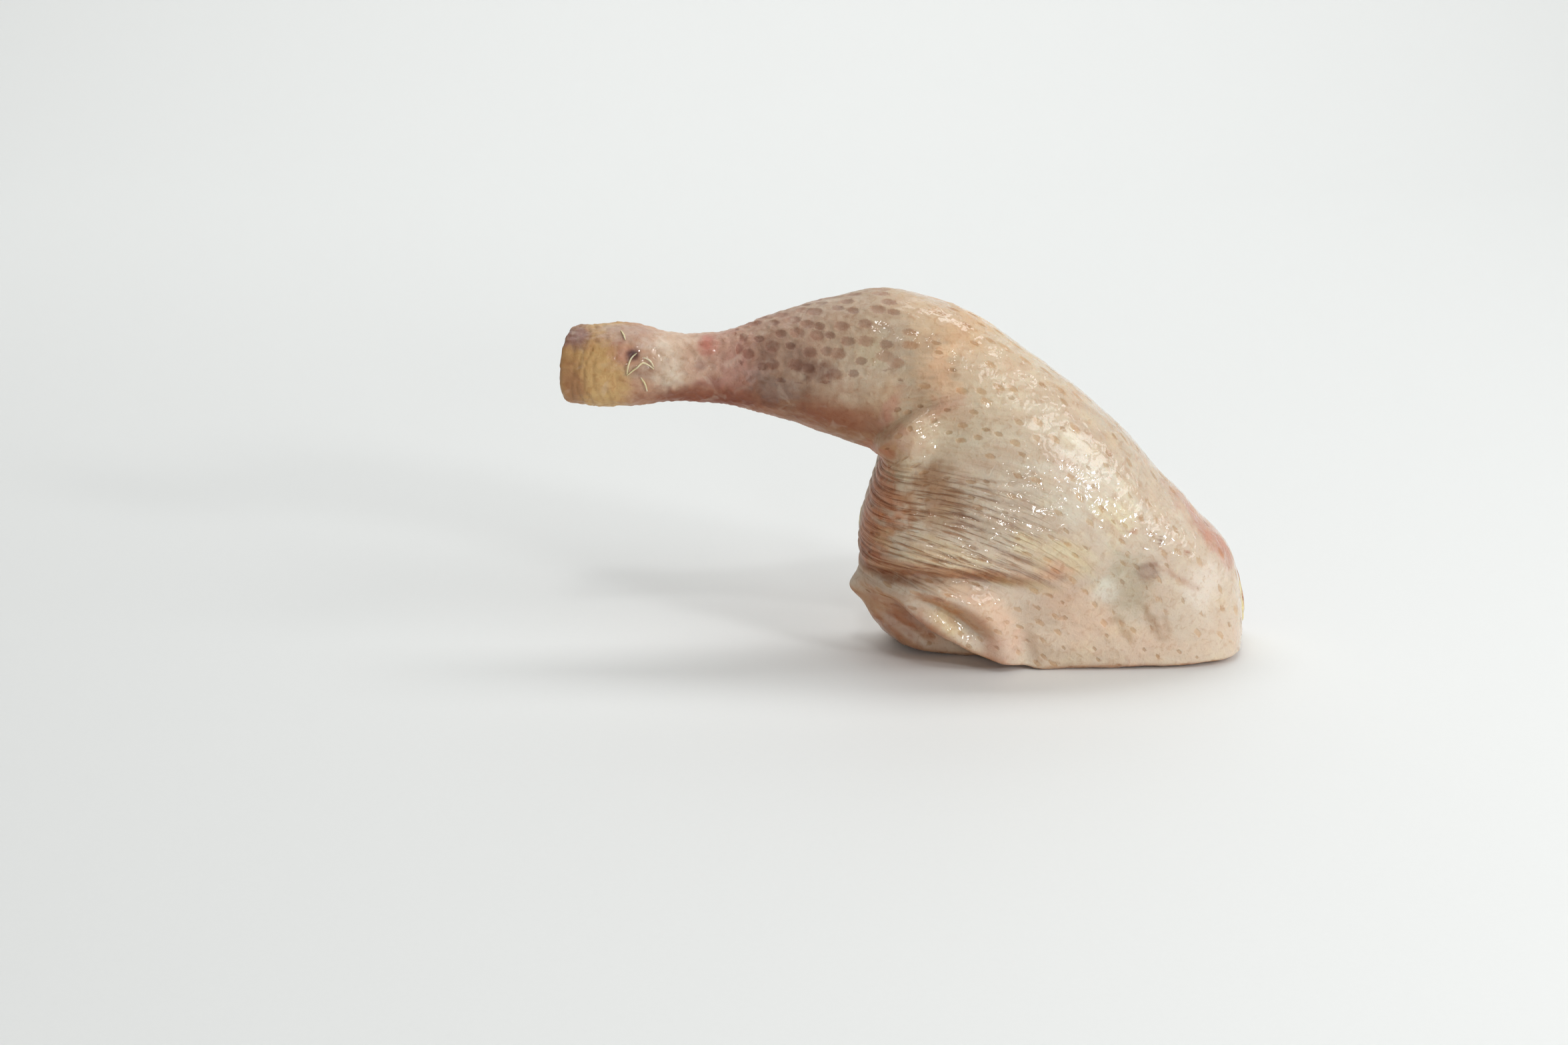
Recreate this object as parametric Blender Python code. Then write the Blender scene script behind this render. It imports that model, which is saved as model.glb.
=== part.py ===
"""A whole chicken leg, raw and with its skin on: thigh and drumstick in one piece.

It stands on the lower edge of its thigh, and the drumstick reaches up and to the left.
The skin side faces the front (-Y), and the cut side of the thigh, with its bare meat
and the ball of the thigh bone, faces the back (+Y). X runs along the leg's longest
side, and Z = 0 is the surface that it stands on. The origin is at the middle of the
whole leg's footprint. All sizes below are in millimetres.
"""

import bpy
import numpy as np

MM = 0.001
GAP = 0.35

# The middle of the leg's footprint, in the measurements below.
ORIGIN = np.array([2.5, -2.0, 0.0])

# Girth stations from the hock to the thigh's lower edge. Each is one section across the
# leg: inner edge x, z; outer edge x, z; depth y of its middle; swell to the front and to
# the back of that; and how square it is towards its inner and its outer edge, where 2 is
# a plain ellipse.
STATIONS = np.array([
    (-104.0, 81.5, -102.0, 98.5, 6.0, 8.5, 8.5, 2.6, 2.6),
    (-103.0, 78.5, -101.5, 100.5, 6.0, 10.5, 10.5, 2.6, 2.6),
    (-98.0, 77.0, -97.0, 101.0, 6.0, 11.5, 11.0, 2.5, 2.5),
    (-84.0, 76.5, -83.5, 102.0, 6.0, 11.0, 11.0, 2.4, 2.4),
    (-72.0, 77.5, -70.5, 98.5, 7.0, 9.5, 9.5, 2.3, 2.3),
    (-57.0, 76.5, -56.0, 99.0, 8.0, 10.0, 10.0, 2.2, 2.2),
    (-41.0, 73.0, -38.5, 105.0, 8.0, 15.0, 14.0, 2.2, 2.1),
    (-24.0, 67.5, -20.0, 110.0, 9.0, 20.5, 19.0, 2.2, 2.1),
    (-11.0, 63.0, -1.0, 112.0, 9.0, 22.5, 20.5, 2.4, 2.1),
    (-6.5, 62.0, 18.0, 107.0, 7.0, 23.5, 21.5, 2.7, 2.1),
    (-7.5, 57.5, 39.5, 93.5, 4.0, 25.5, 22.0, 3.0, 2.1),
    (-10.5, 49.0, 61.0, 77.5, 0.0, 28.5, 21.0, 3.0, 2.1),
    (-12.0, 43.5, 73.0, 66.0, -1.0, 29.5, 20.5, 3.0, 2.1),
    (-13.0, 37.0, 83.5, 52.0, -2.0, 30.0, 20.0, 3.0, 2.2),
    (-12.5, 26.0, 102.5, 34.0, -2.0, 28.5, 20.0, 3.0, 2.4),
    (-11.0, 14.0, 109.0, 14.0, 0.0, 28.0, 19.0, 3.0, 3.0),
    (-5.0, 5.0, 109.5, 5.0, 0.0, 27.5, 18.5, 3.2, 3.4),
    (-1.0, 1.5, 108.5, 1.5, 0.0, 27.0, 17.5, 3.2, 3.6),
    (3.0, 0.0, 105.5, 0.0, 0.0, 25.0, 15.5, 3.2, 3.6),
])

# The hock is cut on a slant, so its front stands further out than its back.
HOCK_SLANT = 0.25
SLANT_REACH = 30.0

# Rolls and valleys of the skin on the front. Each has a half width and runs through
# points x, z, where it rises by the third number, or sinks where that is negative.
FRONT_ROLLS = {
    "bump at the knee fold": (
        6.5, [(6, 77.5, 1.5), (0, 73, 4.2), (-3, 68, 4.4), (-5, 63, 2.2), (-6, 58, 0.4)]),
    "valley behind the knee": (5.5, [(-5, 78, -0.6), (2, 82, -1.6), (2.5, 90, -0.9), (3, 103, 0)]),
    "hollow beside the edge": (10.0, [(4, 66, -1.2), (8, 57, -2.6), (15, 47, -1.2)]),
    "ridge over the long fold": (4.2, [(-12, 37, 2.0), (4, 37, 2.2), (20, 35.0, 1.8), (42, 31, 0)]),
    "long fold": (
        3.4, [(-13, 28, -2.0), (-3, 30.5, -3.0), (12, 31, -3.4), (26, 29.5, -2.6), (44, 27, 0)]),
    "high roll of the flap": (
        5.0, [(1, 27, 1.5), (13, 26, 3.0), (23, 21, 3.6), (29, 14, 3.0), (31, 5, 1.2)]),
    "valley on the flap": (2.6, [(2, 25, -0.8), (9, 23, -2.4), (16, 18.5, -2.6), (23, 12, -1.2)]),
    "roll along the flap's edge": (
        2.8, [(2, 21, 0.8), (9, 17.5, 1.3), (17, 12.5, 1.3), (24, 7.5, 0.6)]),
    "fold of the lower lobe": (2.4, [(-10, 18, -0.6), (-5, 14.5, -1.3), (2, 9.5, -1.4), (9, 5, -0.6)]),
    "trough below the dome": (9.0, [(60, 44, 0), (69, 33, -1.8), (74, 22, -1.8), (80, 8, -0.6)]),
}

# Folds where one layer of skin laps over the next: half width of the edge, reach of the
# raised side, reach of the sunk side, and points x, z with the height raised and sunk.
# The raised side lies to the right of the way along the points.
FRONT_LAPS = {
    "thigh skin over the drumstick": (
        2.6, 12.0, 6.0, [(-8, 64, 2.0, 2.5), (-6.4, 69, 3.4, 3.4), (-3.6, 72.5, 3.4, 3.4),
                         (0.4, 76, 2.6, 2.8), (5.5, 79.2, 1.4, 1.6), (13, 82, 0, 0)]),
    "flap over the lower lobe": (
        3.0, 26.0, 22.0, [(46, -2, 0, 6), (37, 1.5, 0, 8), (30, 3, 0.5, 9.5), (23, 5.5, 1.5, 10),
                          (16, 9.5, 3, 9.5), (9, 13.5, 4, 8), (2.5, 18.5, 4.5, 6.5),
                          (-2.5, 22.5, 3.5, 4), (-8, 23.5, 1, 1)]),
}
PATH_SAMPLES = 48
LAP_BLEND = 4.0

# Places where the skin is pushed out or in: middle x, y, z, push x, y, z and width.
PUSHES = {
    "knob at the end of the long fold": ((-12.5, -7.0, 21.5), (-3.8, 0.0, 0.0), 4.2),
    "lobe at the knee fold": ((-6.0, -12.0, 69.0), (-0.6, -2.4, 0.8), 6.0),
    "crease over the lobe": ((-9.5, -6.0, 77.0), (1.6, 2.6, 1.4), 4.5),
}

# Rolls on the back: the hollow behind the knee and the muscle beside it.
BACK_ROLLS = {
    "hollow behind the knee": (11.0, [(2, 76, -2.5), (14, 70, -3.5), (28, 60, -1.5)]),
    "calf muscle": (9.0, [(-36, 90, 0.5), (-18, 86, 2.0), (-4, 84, 1.0)]),
}

# Bare meat on the back of the thigh: its place along the leg, its place round the leg as
# an angle from the outer edge, its half sizes, how much it leans towards the outer edge
# as it goes down, and how far it stands out and goes in.
MEAT_ALONG = 186.0
MEAT_ROUND = -1.35
MEAT_HALF_ALONG = 29.0
MEAT_HALF_ROUND = 0.9
MEAT_LEAN = 0.85
MEAT_SQUARENESS = 2.5
MEAT_RIPPLES = ((3, 0.04, 0.6), (7, 0.02, 0.0))
MEAT_PROUD = 0.9
MEAT_SWELL = 1.6
MEAT_DEPTH = 7.0
MEAT_EDGE_DEPTH = 1.6
MEAT_PARTS = (0.06, 0.25, 0.45, 0.63, 0.78, 0.9, 1.0)
BUNDLE_HEIGHT = 0.5
BUNDLE_TURNS = (0.32, 0.22)
MEAT_GAP = 0.6
RECESS_CLEARANCE = 5.0
ROUND_TO_MM = 41.0
MEAT_SIDES = 44

# The ball of the thigh bone, half sunk in the meat.
BALL_ALONG = 184.0
BALL_ROUND = -1.2
BALL_RADIUS = 6.0
BALL_LIFT = 1.8

# The end of the shin bone in the hock: two rounded lumps with a groove between them.
JOINT_CENTRE = (-101.6, 6.0, 89.3)
JOINT_TURN = -np.arctan(HOCK_SLANT)
JOINT_HALF = (2.2, 7.4, 8.2)
JOINT_DEPTH = 5.5
JOINT_GROOVE = 0.5
JOINT_GROOVE_WIDTH = 2.4
JOINT_FACE = (0.2, 0.8)

# Facets along the drumstick and the thigh, and across the front and the back.
DRUMSTICK_ROWS = 25
THIGH_ROWS = 48
FRONT_COLUMNS = 44
BACK_COLUMNS = 18
CLOSER_AT_FLAP = 0.09
CREASE_STATION = 8
STEP_ALONG = 0.05
STEP_ROUND = 0.005

# How far round the leg a section turns from its inner to its outer squareness, and where the
# folds of the front and of the back begin and reach their full height.
SQUARE_TURN = 0.7
FRONT_FADE = (-0.1, 0.5)
BACK_FADE = (0.1, 0.6)

SKIN = (0.60, 0.47, 0.38)
MEAT = (0.42, 0.13, 0.11)
CARTILAGE = (0.72, 0.66, 0.62)
JOINT = (0.40, 0.30, 0.30)


def smooth_step(value, low, high):
    """Rises from 0 at low to 1 at high, flat at both ends."""
    t = np.clip((value - low) / (high - low), 0.0, 1.0)
    return t * t * (3.0 - 2.0 * t)


def knots_of(rows):
    """Distance along the leg at each row, as the mean of its inner and outer edge."""
    inner = np.hypot(*np.diff(rows[:, 0:2], axis=0).T)
    outer = np.hypot(*np.diff(rows[:, 2:4], axis=0).T)
    return np.concatenate([[0.0], np.cumsum((inner + outer) / 2)])


def curve_through(knots, rows, at):
    """Smooth cubic curve through rows, each at its own knot, read at the places given."""
    gaps = np.diff(knots)
    slopes = np.diff(rows, axis=0) / gaps[:, None]
    before, after = gaps[:-1, None], gaps[1:, None]
    middle = (slopes[:-1] * after + slopes[1:] * before) / (before + after)
    tangents = np.concatenate([slopes[:1], middle, slopes[-1:]])
    at = np.clip(at, knots[0], knots[-1])
    index = np.clip(np.searchsorted(knots, at, side="right") - 1, 0, len(gaps) - 1)
    gap = gaps[index][..., None]
    t = (at[..., None] - knots[index][..., None]) / gap
    ease = t * t * (3 - 2 * t)
    bend = gap * t * (1 - t) * (tangents[index] * (1 - t) - tangents[index + 1] * t)
    return rows[index] * (1 - ease) + rows[index + 1] * ease + bend


def path_samples(points):
    """Evenly spread samples of the smooth curve through a path's points."""
    points = np.array(points, float)
    knots = np.concatenate([[0.0], np.cumsum(np.hypot(*np.diff(points[:, :2], axis=0).T))])
    return curve_through(knots, points, np.linspace(0.0, knots[-1], PATH_SAMPLES))


def rolls(x, z, table):
    """Sum of rounded ridges. Each is a bell carried along its path: the bells of all its
    samples are added, so that it bends smoothly and fades out at its ends."""
    height = np.zeros_like(x)
    for width, points in table.values():
        path = path_samples(points)
        spacing = np.hypot(*np.diff(path[:, :2], axis=0).T).mean()
        square = (x[..., None] - path[:, 0]) ** 2 + (z[..., None] - path[:, 1]) ** 2
        bells = np.exp(-square / width ** 2) * spacing / (width * np.sqrt(np.pi))
        height += (bells * path[:, 2]).sum(-1)
    return height


def laps(x, z, table):
    """Sum of steps: the right side of each path stands out, the left side sinks. Distance,
    side and heights are those of the path's samples, weighted towards the nearest."""
    height = np.zeros_like(x)
    for edge, raised_reach, sunk_reach, points in table.values():
        path = path_samples(points)
        way = np.gradient(path[:, :2], axis=0)
        way /= np.hypot(*way.T)[:, None]
        right, up = x[..., None] - path[:, 0], z[..., None] - path[:, 1]
        square = right ** 2 + up ** 2
        weight = np.exp(-(square - square.min(-1, keepdims=True)) / LAP_BLEND ** 2)
        weight /= weight.sum(-1, keepdims=True)
        side = (weight * (right * way[:, 1] - up * way[:, 0])).sum(-1)
        distance = (weight * np.sqrt(square)).sum(-1)
        over = smooth_step(side, -edge, edge)
        height += (weight * path[:, 2]).sum(-1) * over * np.exp(-(distance / raised_reach) ** 2)
        height -= (weight * path[:, 3]).sum(-1) * (1 - over) * np.exp(-(distance / sunk_reach) ** 2)
    return height


KNOTS = knots_of(STATIONS)


def leg_surface(along, angle):
    """The skin at a place along the leg and an angle round it: 0 is the outer edge, a
    quarter turn is the front, half a turn the inner edge. A squared ellipse spans the
    two edges of the station, and the folds then move it to the front or the back."""
    row = curve_through(KNOTS, STATIONS, along)
    across, out = np.cos(angle), np.sin(angle)
    square = row[..., 7] + (row[..., 8] - row[..., 7]) * smooth_step(across, -SQUARE_TURN, SQUARE_TURN)
    size = (np.abs(across) ** square + np.abs(out) ** square) ** (-1 / square)
    across, out = across * size, out * size
    x = (row[..., 0] + row[..., 2]) / 2 + across * (row[..., 2] - row[..., 0]) / 2
    z = (row[..., 1] + row[..., 3]) / 2 + across * (row[..., 3] - row[..., 1]) / 2
    swell = np.where(out > 0, row[..., 5], row[..., 6])
    y = row[..., 4] - out * swell
    x = x + HOCK_SLANT * (y - row[..., 4]) * (1 - smooth_step(along, 0, SLANT_REACH))
    fold = rolls(x, z, FRONT_ROLLS) + laps(x, z, FRONT_LAPS)
    y = y - fold * smooth_step(out, *FRONT_FADE)
    y = y + rolls(x, z, BACK_ROLLS) * smooth_step(-out, *BACK_FADE)
    points = np.stack([x, y, z], -1)
    shift = np.zeros_like(points)
    for middle, push, width in PUSHES.values():
        square = ((points - np.array(middle)) ** 2).sum(-1, keepdims=True)
        shift += np.array(push) * np.exp(-square / width ** 2)
    return points + shift


def outward(along, angle):
    """Unit vector that points out of the skin, from the slopes along and round the leg."""
    down = leg_surface(along + STEP_ALONG, angle) - leg_surface(along - STEP_ALONG, angle)
    past = leg_surface(along, angle + STEP_ROUND) - leg_surface(along, angle - STEP_ROUND)
    normal = np.cross(past, down)
    return normal / np.linalg.norm(normal, axis=-1, keepdims=True)


def ring_faces(grid):
    """Triangles between rings of points, each ring closed on itself. Each four-sided cell
    is split along its shorter diagonal, so that the facets follow the folds."""
    rows, columns = grid.shape[:2]
    row = np.arange(rows - 1)[:, None] * columns
    here = np.arange(columns)[None, :]
    there = (here + 1) % columns
    a, b, c, d = (corner.ravel() for corner in np.broadcast_arrays(
        row + here, row + columns + here, row + columns + there, row + there))
    points = grid.reshape(-1, 3)
    one_way = np.linalg.norm(points[a] - points[c], axis=1)
    other_way = np.linalg.norm(points[b] - points[d], axis=1)
    direct = one_way <= other_way
    first = np.where(direct, [a, b, c], [a, b, d])
    second = np.where(direct, [a, c, d], [b, c, d])
    return np.concatenate([first, second], axis=1).T.tolist()


def fan_faces(first, columns, centre, flip):
    """Triangles from a ring to one centre point."""
    here = first + np.arange(columns)
    there = first + (np.arange(columns) + 1) % columns
    middle = np.full(columns, centre)
    order = [here, there, middle] if not flip else [there, here, middle]
    return np.stack(order, -1).tolist()


def make_object(name, points, faces, collection, material=None):
    """A mesh object from points in millimetres, shaded smooth."""
    mesh = bpy.data.meshes.new(name)
    mesh.from_pydata(((np.asarray(points) - ORIGIN) * MM).tolist(), [], faces)
    mesh.shade_smooth()
    if material:
        mesh.materials.append(material)
    thing = bpy.data.objects.new(name, mesh)
    collection.objects.link(thing)
    return thing


def closed_loft(grid, name, collection, material=None):
    """Rings of points closed at both ends by a centre point, as a loft between unlike sections."""
    rows, columns = grid.shape[:2]
    points = np.vstack([grid.reshape(-1, 3), grid[0].mean(0), grid[-1].mean(0)])
    count = rows * columns
    faces = ring_faces(grid)
    faces += fan_faces(0, columns, count, False)
    faces += fan_faces(count - columns, columns, count + 1, True)
    return make_object(name, points, faces, collection, material)


def plain_material(name, colour, roughness):
    """One Principled finish."""
    material = bpy.data.materials.new(name)
    material.use_nodes = True
    shader = material.node_tree.nodes["Principled BSDF"]
    shader.inputs["Base Color"].default_value = (*colour, 1.0)
    shader.inputs["Roughness"].default_value = roughness
    shader.inputs["Metallic"].default_value = 0.0
    return material


def make_cutter(thing):
    """Marks an object as a cutter, which is never rendered."""
    thing.hide_render = True
    thing.display_type = "WIRE"


def cut(thing, cutter, name):
    """Takes one cutter away from an object with a live Boolean."""
    modifier = thing.modifiers.new(name, "BOOLEAN")
    modifier.operation = "DIFFERENCE"
    modifier.object = cutter


def build_leg(collection):
    """The skin-covered body, from the slanted hock to the flat edge that it stands on."""
    crease, end = KNOTS[CREASE_STATION], KNOTS[-1]
    first = np.linspace(0.0, crease, DRUMSTICK_ROWS, endpoint=False)
    along = np.concatenate([first, np.linspace(crease, end, THIGH_ROWS)])
    share = np.linspace(0.0, 1.0, FRONT_COLUMNS, endpoint=False)
    front = np.pi * (share + CLOSER_AT_FLAP * (1 + np.sin(2 * np.pi * (share - 0.25))))
    back = np.linspace(np.pi, 2 * np.pi, BACK_COLUMNS, endpoint=False)
    angle = np.concatenate([front, back])
    grid = leg_surface(*np.meshgrid(along, angle, indexing="ij"))
    skin = plain_material("raw skin", SKIN, 0.35)
    return closed_loft(grid, "leg", collection, skin)


def meat_patch(name, grow, proud, depth, collection, material=None):
    """A lens that follows the thigh's surface: one face stands proud of it, the other
    lies under it, deep in the middle and shallow at the wavy rim."""
    turn = np.linspace(0.0, 2 * np.pi, MEAT_SIDES, endpoint=False)
    shape = np.abs(np.cos(turn)) ** MEAT_SQUARENESS + np.abs(np.sin(turn)) ** MEAT_SQUARENESS
    ripples = sum(size * np.cos(count * turn + start) for count, size, start in MEAT_RIPPLES)
    rim = shape ** (-1 / MEAT_SQUARENESS) * (1 + ripples)
    part, turn = np.meshgrid(MEAT_PARTS, turn, indexing="ij")
    along = MEAT_ALONG + np.cos(turn) * (MEAT_HALF_ALONG * part * rim + grow)
    angle = MEAT_ROUND + np.sin(turn) * (MEAT_HALF_ROUND * part * rim + grow / ROUND_TO_MM)
    angle = angle + MEAT_LEAN * (along - MEAT_ALONG) / MEAT_HALF_ALONG
    points, normal = leg_surface(along, angle), outward(along, angle)
    middle = (1 - part ** 2)[..., None]
    muscle = BUNDLE_HEIGHT * np.sin(points[..., :1] * BUNDLE_TURNS[0] + points[..., 2:] * BUNDLE_TURNS[1])
    outer = points + normal * (proud + (MEAT_SWELL + muscle) * middle)
    inner = points - normal * (MEAT_EDGE_DEPTH + (depth - MEAT_EDGE_DEPTH) * middle)
    grid = np.concatenate([inner, outer[::-1]])
    return closed_loft(grid, name, collection, material)


def hip_ball(name, radius, collection, material=None):
    """The rounded head of the thigh bone as a sphere on the meat."""
    along, angle = np.array(BALL_ALONG), np.array(BALL_ROUND)
    centre = leg_surface(along, angle) + outward(along, angle) * (MEAT_PROUD + BALL_LIFT)
    bpy.ops.mesh.primitive_uv_sphere_add(
        segments=20, ring_count=12, radius=radius * MM, location=tuple((centre - ORIGIN) * MM))
    ball = bpy.context.object
    ball.name = name
    ball.data.shade_smooth()
    move_to(ball, collection)
    if material:
        ball.data.materials.append(material)
    return ball


def bone_end(name, grow, collection, material=None):
    """The two-lobed end of the shin bone: a flattened ball, sunk along its middle."""
    bpy.ops.mesh.primitive_uv_sphere_add(segments=26, ring_count=14, radius=1.0, location=(0, 0, 0))
    lump = bpy.context.object
    lump.name = name
    points = np.empty(len(lump.data.vertices) * 3)
    lump.data.vertices.foreach_get("co", points)
    points = points.reshape(-1, 3)
    local = points * (np.array(JOINT_HALF) + grow)
    local[:, 0] = points[:, 0] * (np.where(points[:, 0] < 0, JOINT_HALF[0], JOINT_DEPTH) + grow)
    groove = JOINT_GROOVE * JOINT_HALF[0] * np.exp(-(local[:, 1] / JOINT_GROOVE_WIDTH) ** 2)
    local[:, 0] += groove * smooth_step(-points[:, 0], *JOINT_FACE)
    lump.data.vertices.foreach_set("co", (local * MM).ravel())
    lump.data.update()
    lump.location = tuple((np.array(JOINT_CENTRE) - ORIGIN) * MM)
    lump.rotation_euler = (0.0, 0.0, JOINT_TURN)
    lump.data.shade_smooth()
    move_to(lump, collection)
    if material:
        lump.data.materials.append(material)
    return lump


def move_to(thing, collection):
    """Puts an object into one collection only."""
    for old in thing.users_collection:
        old.objects.unlink(thing)
    collection.objects.link(thing)


def main():
    """Builds the leg and the three things that show where it was cut."""
    for thing in list(bpy.data.objects):
        bpy.data.objects.remove(thing)
    pieces = bpy.data.collections.new("chicken leg")
    cutters = bpy.data.collections.new("cutters")
    for collection in (pieces, cutters):
        bpy.context.scene.collection.children.link(collection)

    leg = build_leg(pieces)
    meat = meat_patch(
        "thigh_meat", 0.0, MEAT_PROUD, MEAT_DEPTH, pieces, plain_material("raw meat", MEAT, 0.3))
    hip_ball("hip_ball", BALL_RADIUS, pieces, plain_material("cartilage", CARTILAGE, 0.25))
    bone_end("hock_joint", 0.0, pieces, plain_material("joint cartilage", JOINT, 0.3))

    meat_cutter = meat_patch(
        "meat_recess", MEAT_GAP, MEAT_PROUD + RECESS_CLEARANCE, MEAT_DEPTH + GAP, cutters)
    ball_cutter = hip_ball("ball_recess", BALL_RADIUS + GAP, cutters)
    joint_cutter = bone_end("joint_recess", GAP, cutters)
    for cutter in (meat_cutter, ball_cutter, joint_cutter):
        make_cutter(cutter)
    cut(leg, meat_cutter, "meat recess")
    cut(leg, joint_cutter, "joint recess")
    cut(meat, ball_cutter, "ball recess")


main()
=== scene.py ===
"""The looks of a whole chicken leg, raw and with its skin on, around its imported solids.

The skin is one fine surface over the leg's own sections, with its folds, wrinkles, feather
follicles and scales as relief. The bare meat with its fat rim, the ball of the thigh bone and
the hock's cartilage are pieces of their own. Shapes are worked out in millimetres, in the
frame of the leg's measurements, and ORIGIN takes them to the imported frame.
"""

import bpy
import numpy as np
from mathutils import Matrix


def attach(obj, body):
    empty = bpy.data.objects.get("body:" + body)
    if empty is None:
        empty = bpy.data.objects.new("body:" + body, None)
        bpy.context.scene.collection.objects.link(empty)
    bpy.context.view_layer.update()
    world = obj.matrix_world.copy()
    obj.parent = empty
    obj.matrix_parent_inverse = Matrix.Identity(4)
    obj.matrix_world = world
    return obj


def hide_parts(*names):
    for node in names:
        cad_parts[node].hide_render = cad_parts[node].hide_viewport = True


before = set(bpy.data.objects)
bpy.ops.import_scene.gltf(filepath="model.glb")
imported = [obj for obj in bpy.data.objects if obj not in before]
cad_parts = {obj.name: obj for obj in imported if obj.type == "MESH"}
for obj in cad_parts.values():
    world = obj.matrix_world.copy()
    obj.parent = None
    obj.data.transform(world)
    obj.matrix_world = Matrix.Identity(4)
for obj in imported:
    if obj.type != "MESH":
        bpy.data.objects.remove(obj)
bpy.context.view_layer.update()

MM = 0.001
ORIGIN = np.array([2.5, -2.0, 0.0])
FLOOR_GAP = 0.05

# Girth stations from the hock to the thigh's lower edge: inner edge x, z; outer edge x, z;
# depth y of the middle; swell to the front and to the back; squareness at the inner and the
# outer edge, where 2 is a plain ellipse.
STATIONS = np.array([
    (-104, 81.5, -102, 98.5, 6, 8.5, 8.5, 2.6, 2.6),
    (-103, 78.5, -101.5, 100.5, 6, 10.5, 10.5, 2.6, 2.6),
    (-98, 77, -97, 101, 6, 11.5, 11, 2.5, 2.5),
    (-84, 76.5, -83.5, 102, 6, 11, 11, 2.4, 2.4),
    (-72, 77.5, -70.5, 98.5, 7, 9.5, 9.5, 2.3, 2.3),
    (-57, 76.5, -56, 99, 8, 10, 10, 2.2, 2.2),
    (-41, 73, -38.5, 105, 8, 15, 14, 2.2, 2.1),
    (-24, 67.5, -20, 110, 9, 20.5, 19, 2.2, 2.1),
    (-11, 63, -1, 112, 9, 22.5, 20.5, 2.4, 2.1),
    (-6.5, 62, 18, 107, 7, 23.5, 21.5, 2.7, 2.1),
    (-7.5, 57.5, 39.5, 93.5, 4, 25.5, 22, 3, 2.1),
    (-10.5, 49, 61, 77.5, 0, 28.5, 21, 3, 2.1),
    (-12, 43.5, 73, 66, -1, 29.5, 20.5, 3, 2.1),
    (-13, 37, 83.5, 52, -2, 30, 20, 3, 2.2),
    (-12.5, 26, 102.5, 34, -2, 28.5, 20, 3, 2.4),
    (-11, 14, 109, 14, 0, 28, 19, 3, 3),
    (-5, 5, 109.5, 5, 0, 27.5, 18.5, 3.2, 3.4),
    (-1, 1.5, 108.5, 1.5, 0, 27, 17.5, 3.2, 3.6),
    (3, 0, 105.5, 0, 0, 25, 15.5, 3.2, 3.6),
])
HOCK_SLANT = 0.25
SLANT_REACH = 30.0

# Rolls and valleys of the skin: half width, then points x, z and how far it rises there.
FRONT_ROLLS = {
    "bump at the knee fold": (
        6.5, [(6, 77.5, 1.5), (0, 73, 4.2), (-3, 68, 4.4), (-5, 63, 2.2), (-6, 58, 0.4)]),
    "valley behind the knee": (5.5, [(-5, 78, -0.6), (2, 82, -1.6), (2.5, 90, -0.9), (3, 103, 0)]),
    "hollow beside the edge": (10.0, [(4, 66, -1.2), (8, 57, -2.6), (15, 47, -1.2)]),
    "ridge over the long fold": (4.2, [(-12, 37, 2.0), (4, 37, 2.2), (20, 35.0, 1.8), (42, 31, 0)]),
    "long fold": (3.2, [(-13, 28, -2.0), (-3, 30.5, -3.0), (12, 31, -3.4), (26, 29.5, -2.6), (44, 27, 0)]),
    "high roll of the flap": (
        5.0, [(1, 27, 1.5), (13, 26, 3.0), (23, 21, 3.6), (29, 14, 3.4), (31, 7, 3.2), (32, 1, 1.8)]),
    "valley beside the foot of the flap": (2.6, [(35, 15, -0.4), (38, 8, -1.6), (39.5, 2, -1.0)]),
    "valley on the flap": (2.4, [(2, 25, -0.8), (9, 23, -2.4), (16, 18.5, -2.6), (23, 12, -1.2)]),
    "roll along the flap's edge": (2.6, [(2, 21, 0.8), (9, 17.5, 1.8), (17, 12.5, 1.8), (24, 7.5, 0.8)]),
    "fold of the lower lobe": (2.0, [(-10, 18, -0.6), (-5, 14.5, -1.5), (2, 9.5, -1.6), (9, 5, -0.8)]),
    "trough below the dome": (9.0, [(60, 44, 0), (69, 33, -1.8), (74, 22, -1.8), (80, 8, -0.6)]),
}
BACK_ROLLS = {
    "hollow behind the knee": (11.0, [(2, 76, -2.5), (14, 70, -3.5), (28, 60, -1.5)]),
    "calf muscle": (9.0, [(-36, 90, 0.5), (-18, 86, 2.0), (-4, 84, 1.0)]),
}

# Laps of one layer of skin over the next: half width of the edge, reach of the raised and the
# sunk side, overhang, and points x, z with the height raised on the right and sunk on the left.
FRONT_LAPS = {
    "thigh skin over the drumstick": (
        1.5, 12.0, 5.0, 0.9, [(-8, 64, 2.0, 2.5), (-6.4, 69, 3.4, 3.6), (-3.6, 72.5, 3.4, 3.6),
                              (0.4, 76, 2.6, 3.0), (5.5, 79.2, 1.4, 1.8), (13, 82, 0, 0)]),
    "flap over the lower lobe": (
        1.8, 26.0, 22.0, 1.1, [(46, -2, 0, 6), (37, 1.5, 0, 8), (30, 3, 0.5, 9.5), (23, 5.5, 1.5, 10),
                               (16, 9.5, 3, 9.5), (9, 13.5, 4, 8), (2.5, 18.5, 4.5, 6.5),
                               (-2.5, 22.5, 3.5, 4), (-8, 23.5, 1, 1)]),
}
PATH_SAMPLES = 48
LAP_BLEND = 4.0
# The overhang's width in half widths of the edge, and the step that has the whole of it.
LIP_WIDTH, LIP_FULL_STEP = 1.6, 4

# Places where the skin is pushed out or in: middle x, y, z, push x, y, z and width.
PUSHES = {
    "knob at the end of the long fold": ((-12.5, -7.0, 21.5), (-3.8, 0.0, 0.0), 4.2),
    "lobe at the knee fold": ((-6.0, -12.0, 69.0), (-0.6, -2.4, 0.8), 6.0),
    "crease over the lobe": ((-9.5, -6.0, 77.0), (1.6, 2.6, 1.4), 4.5),
}

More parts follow.
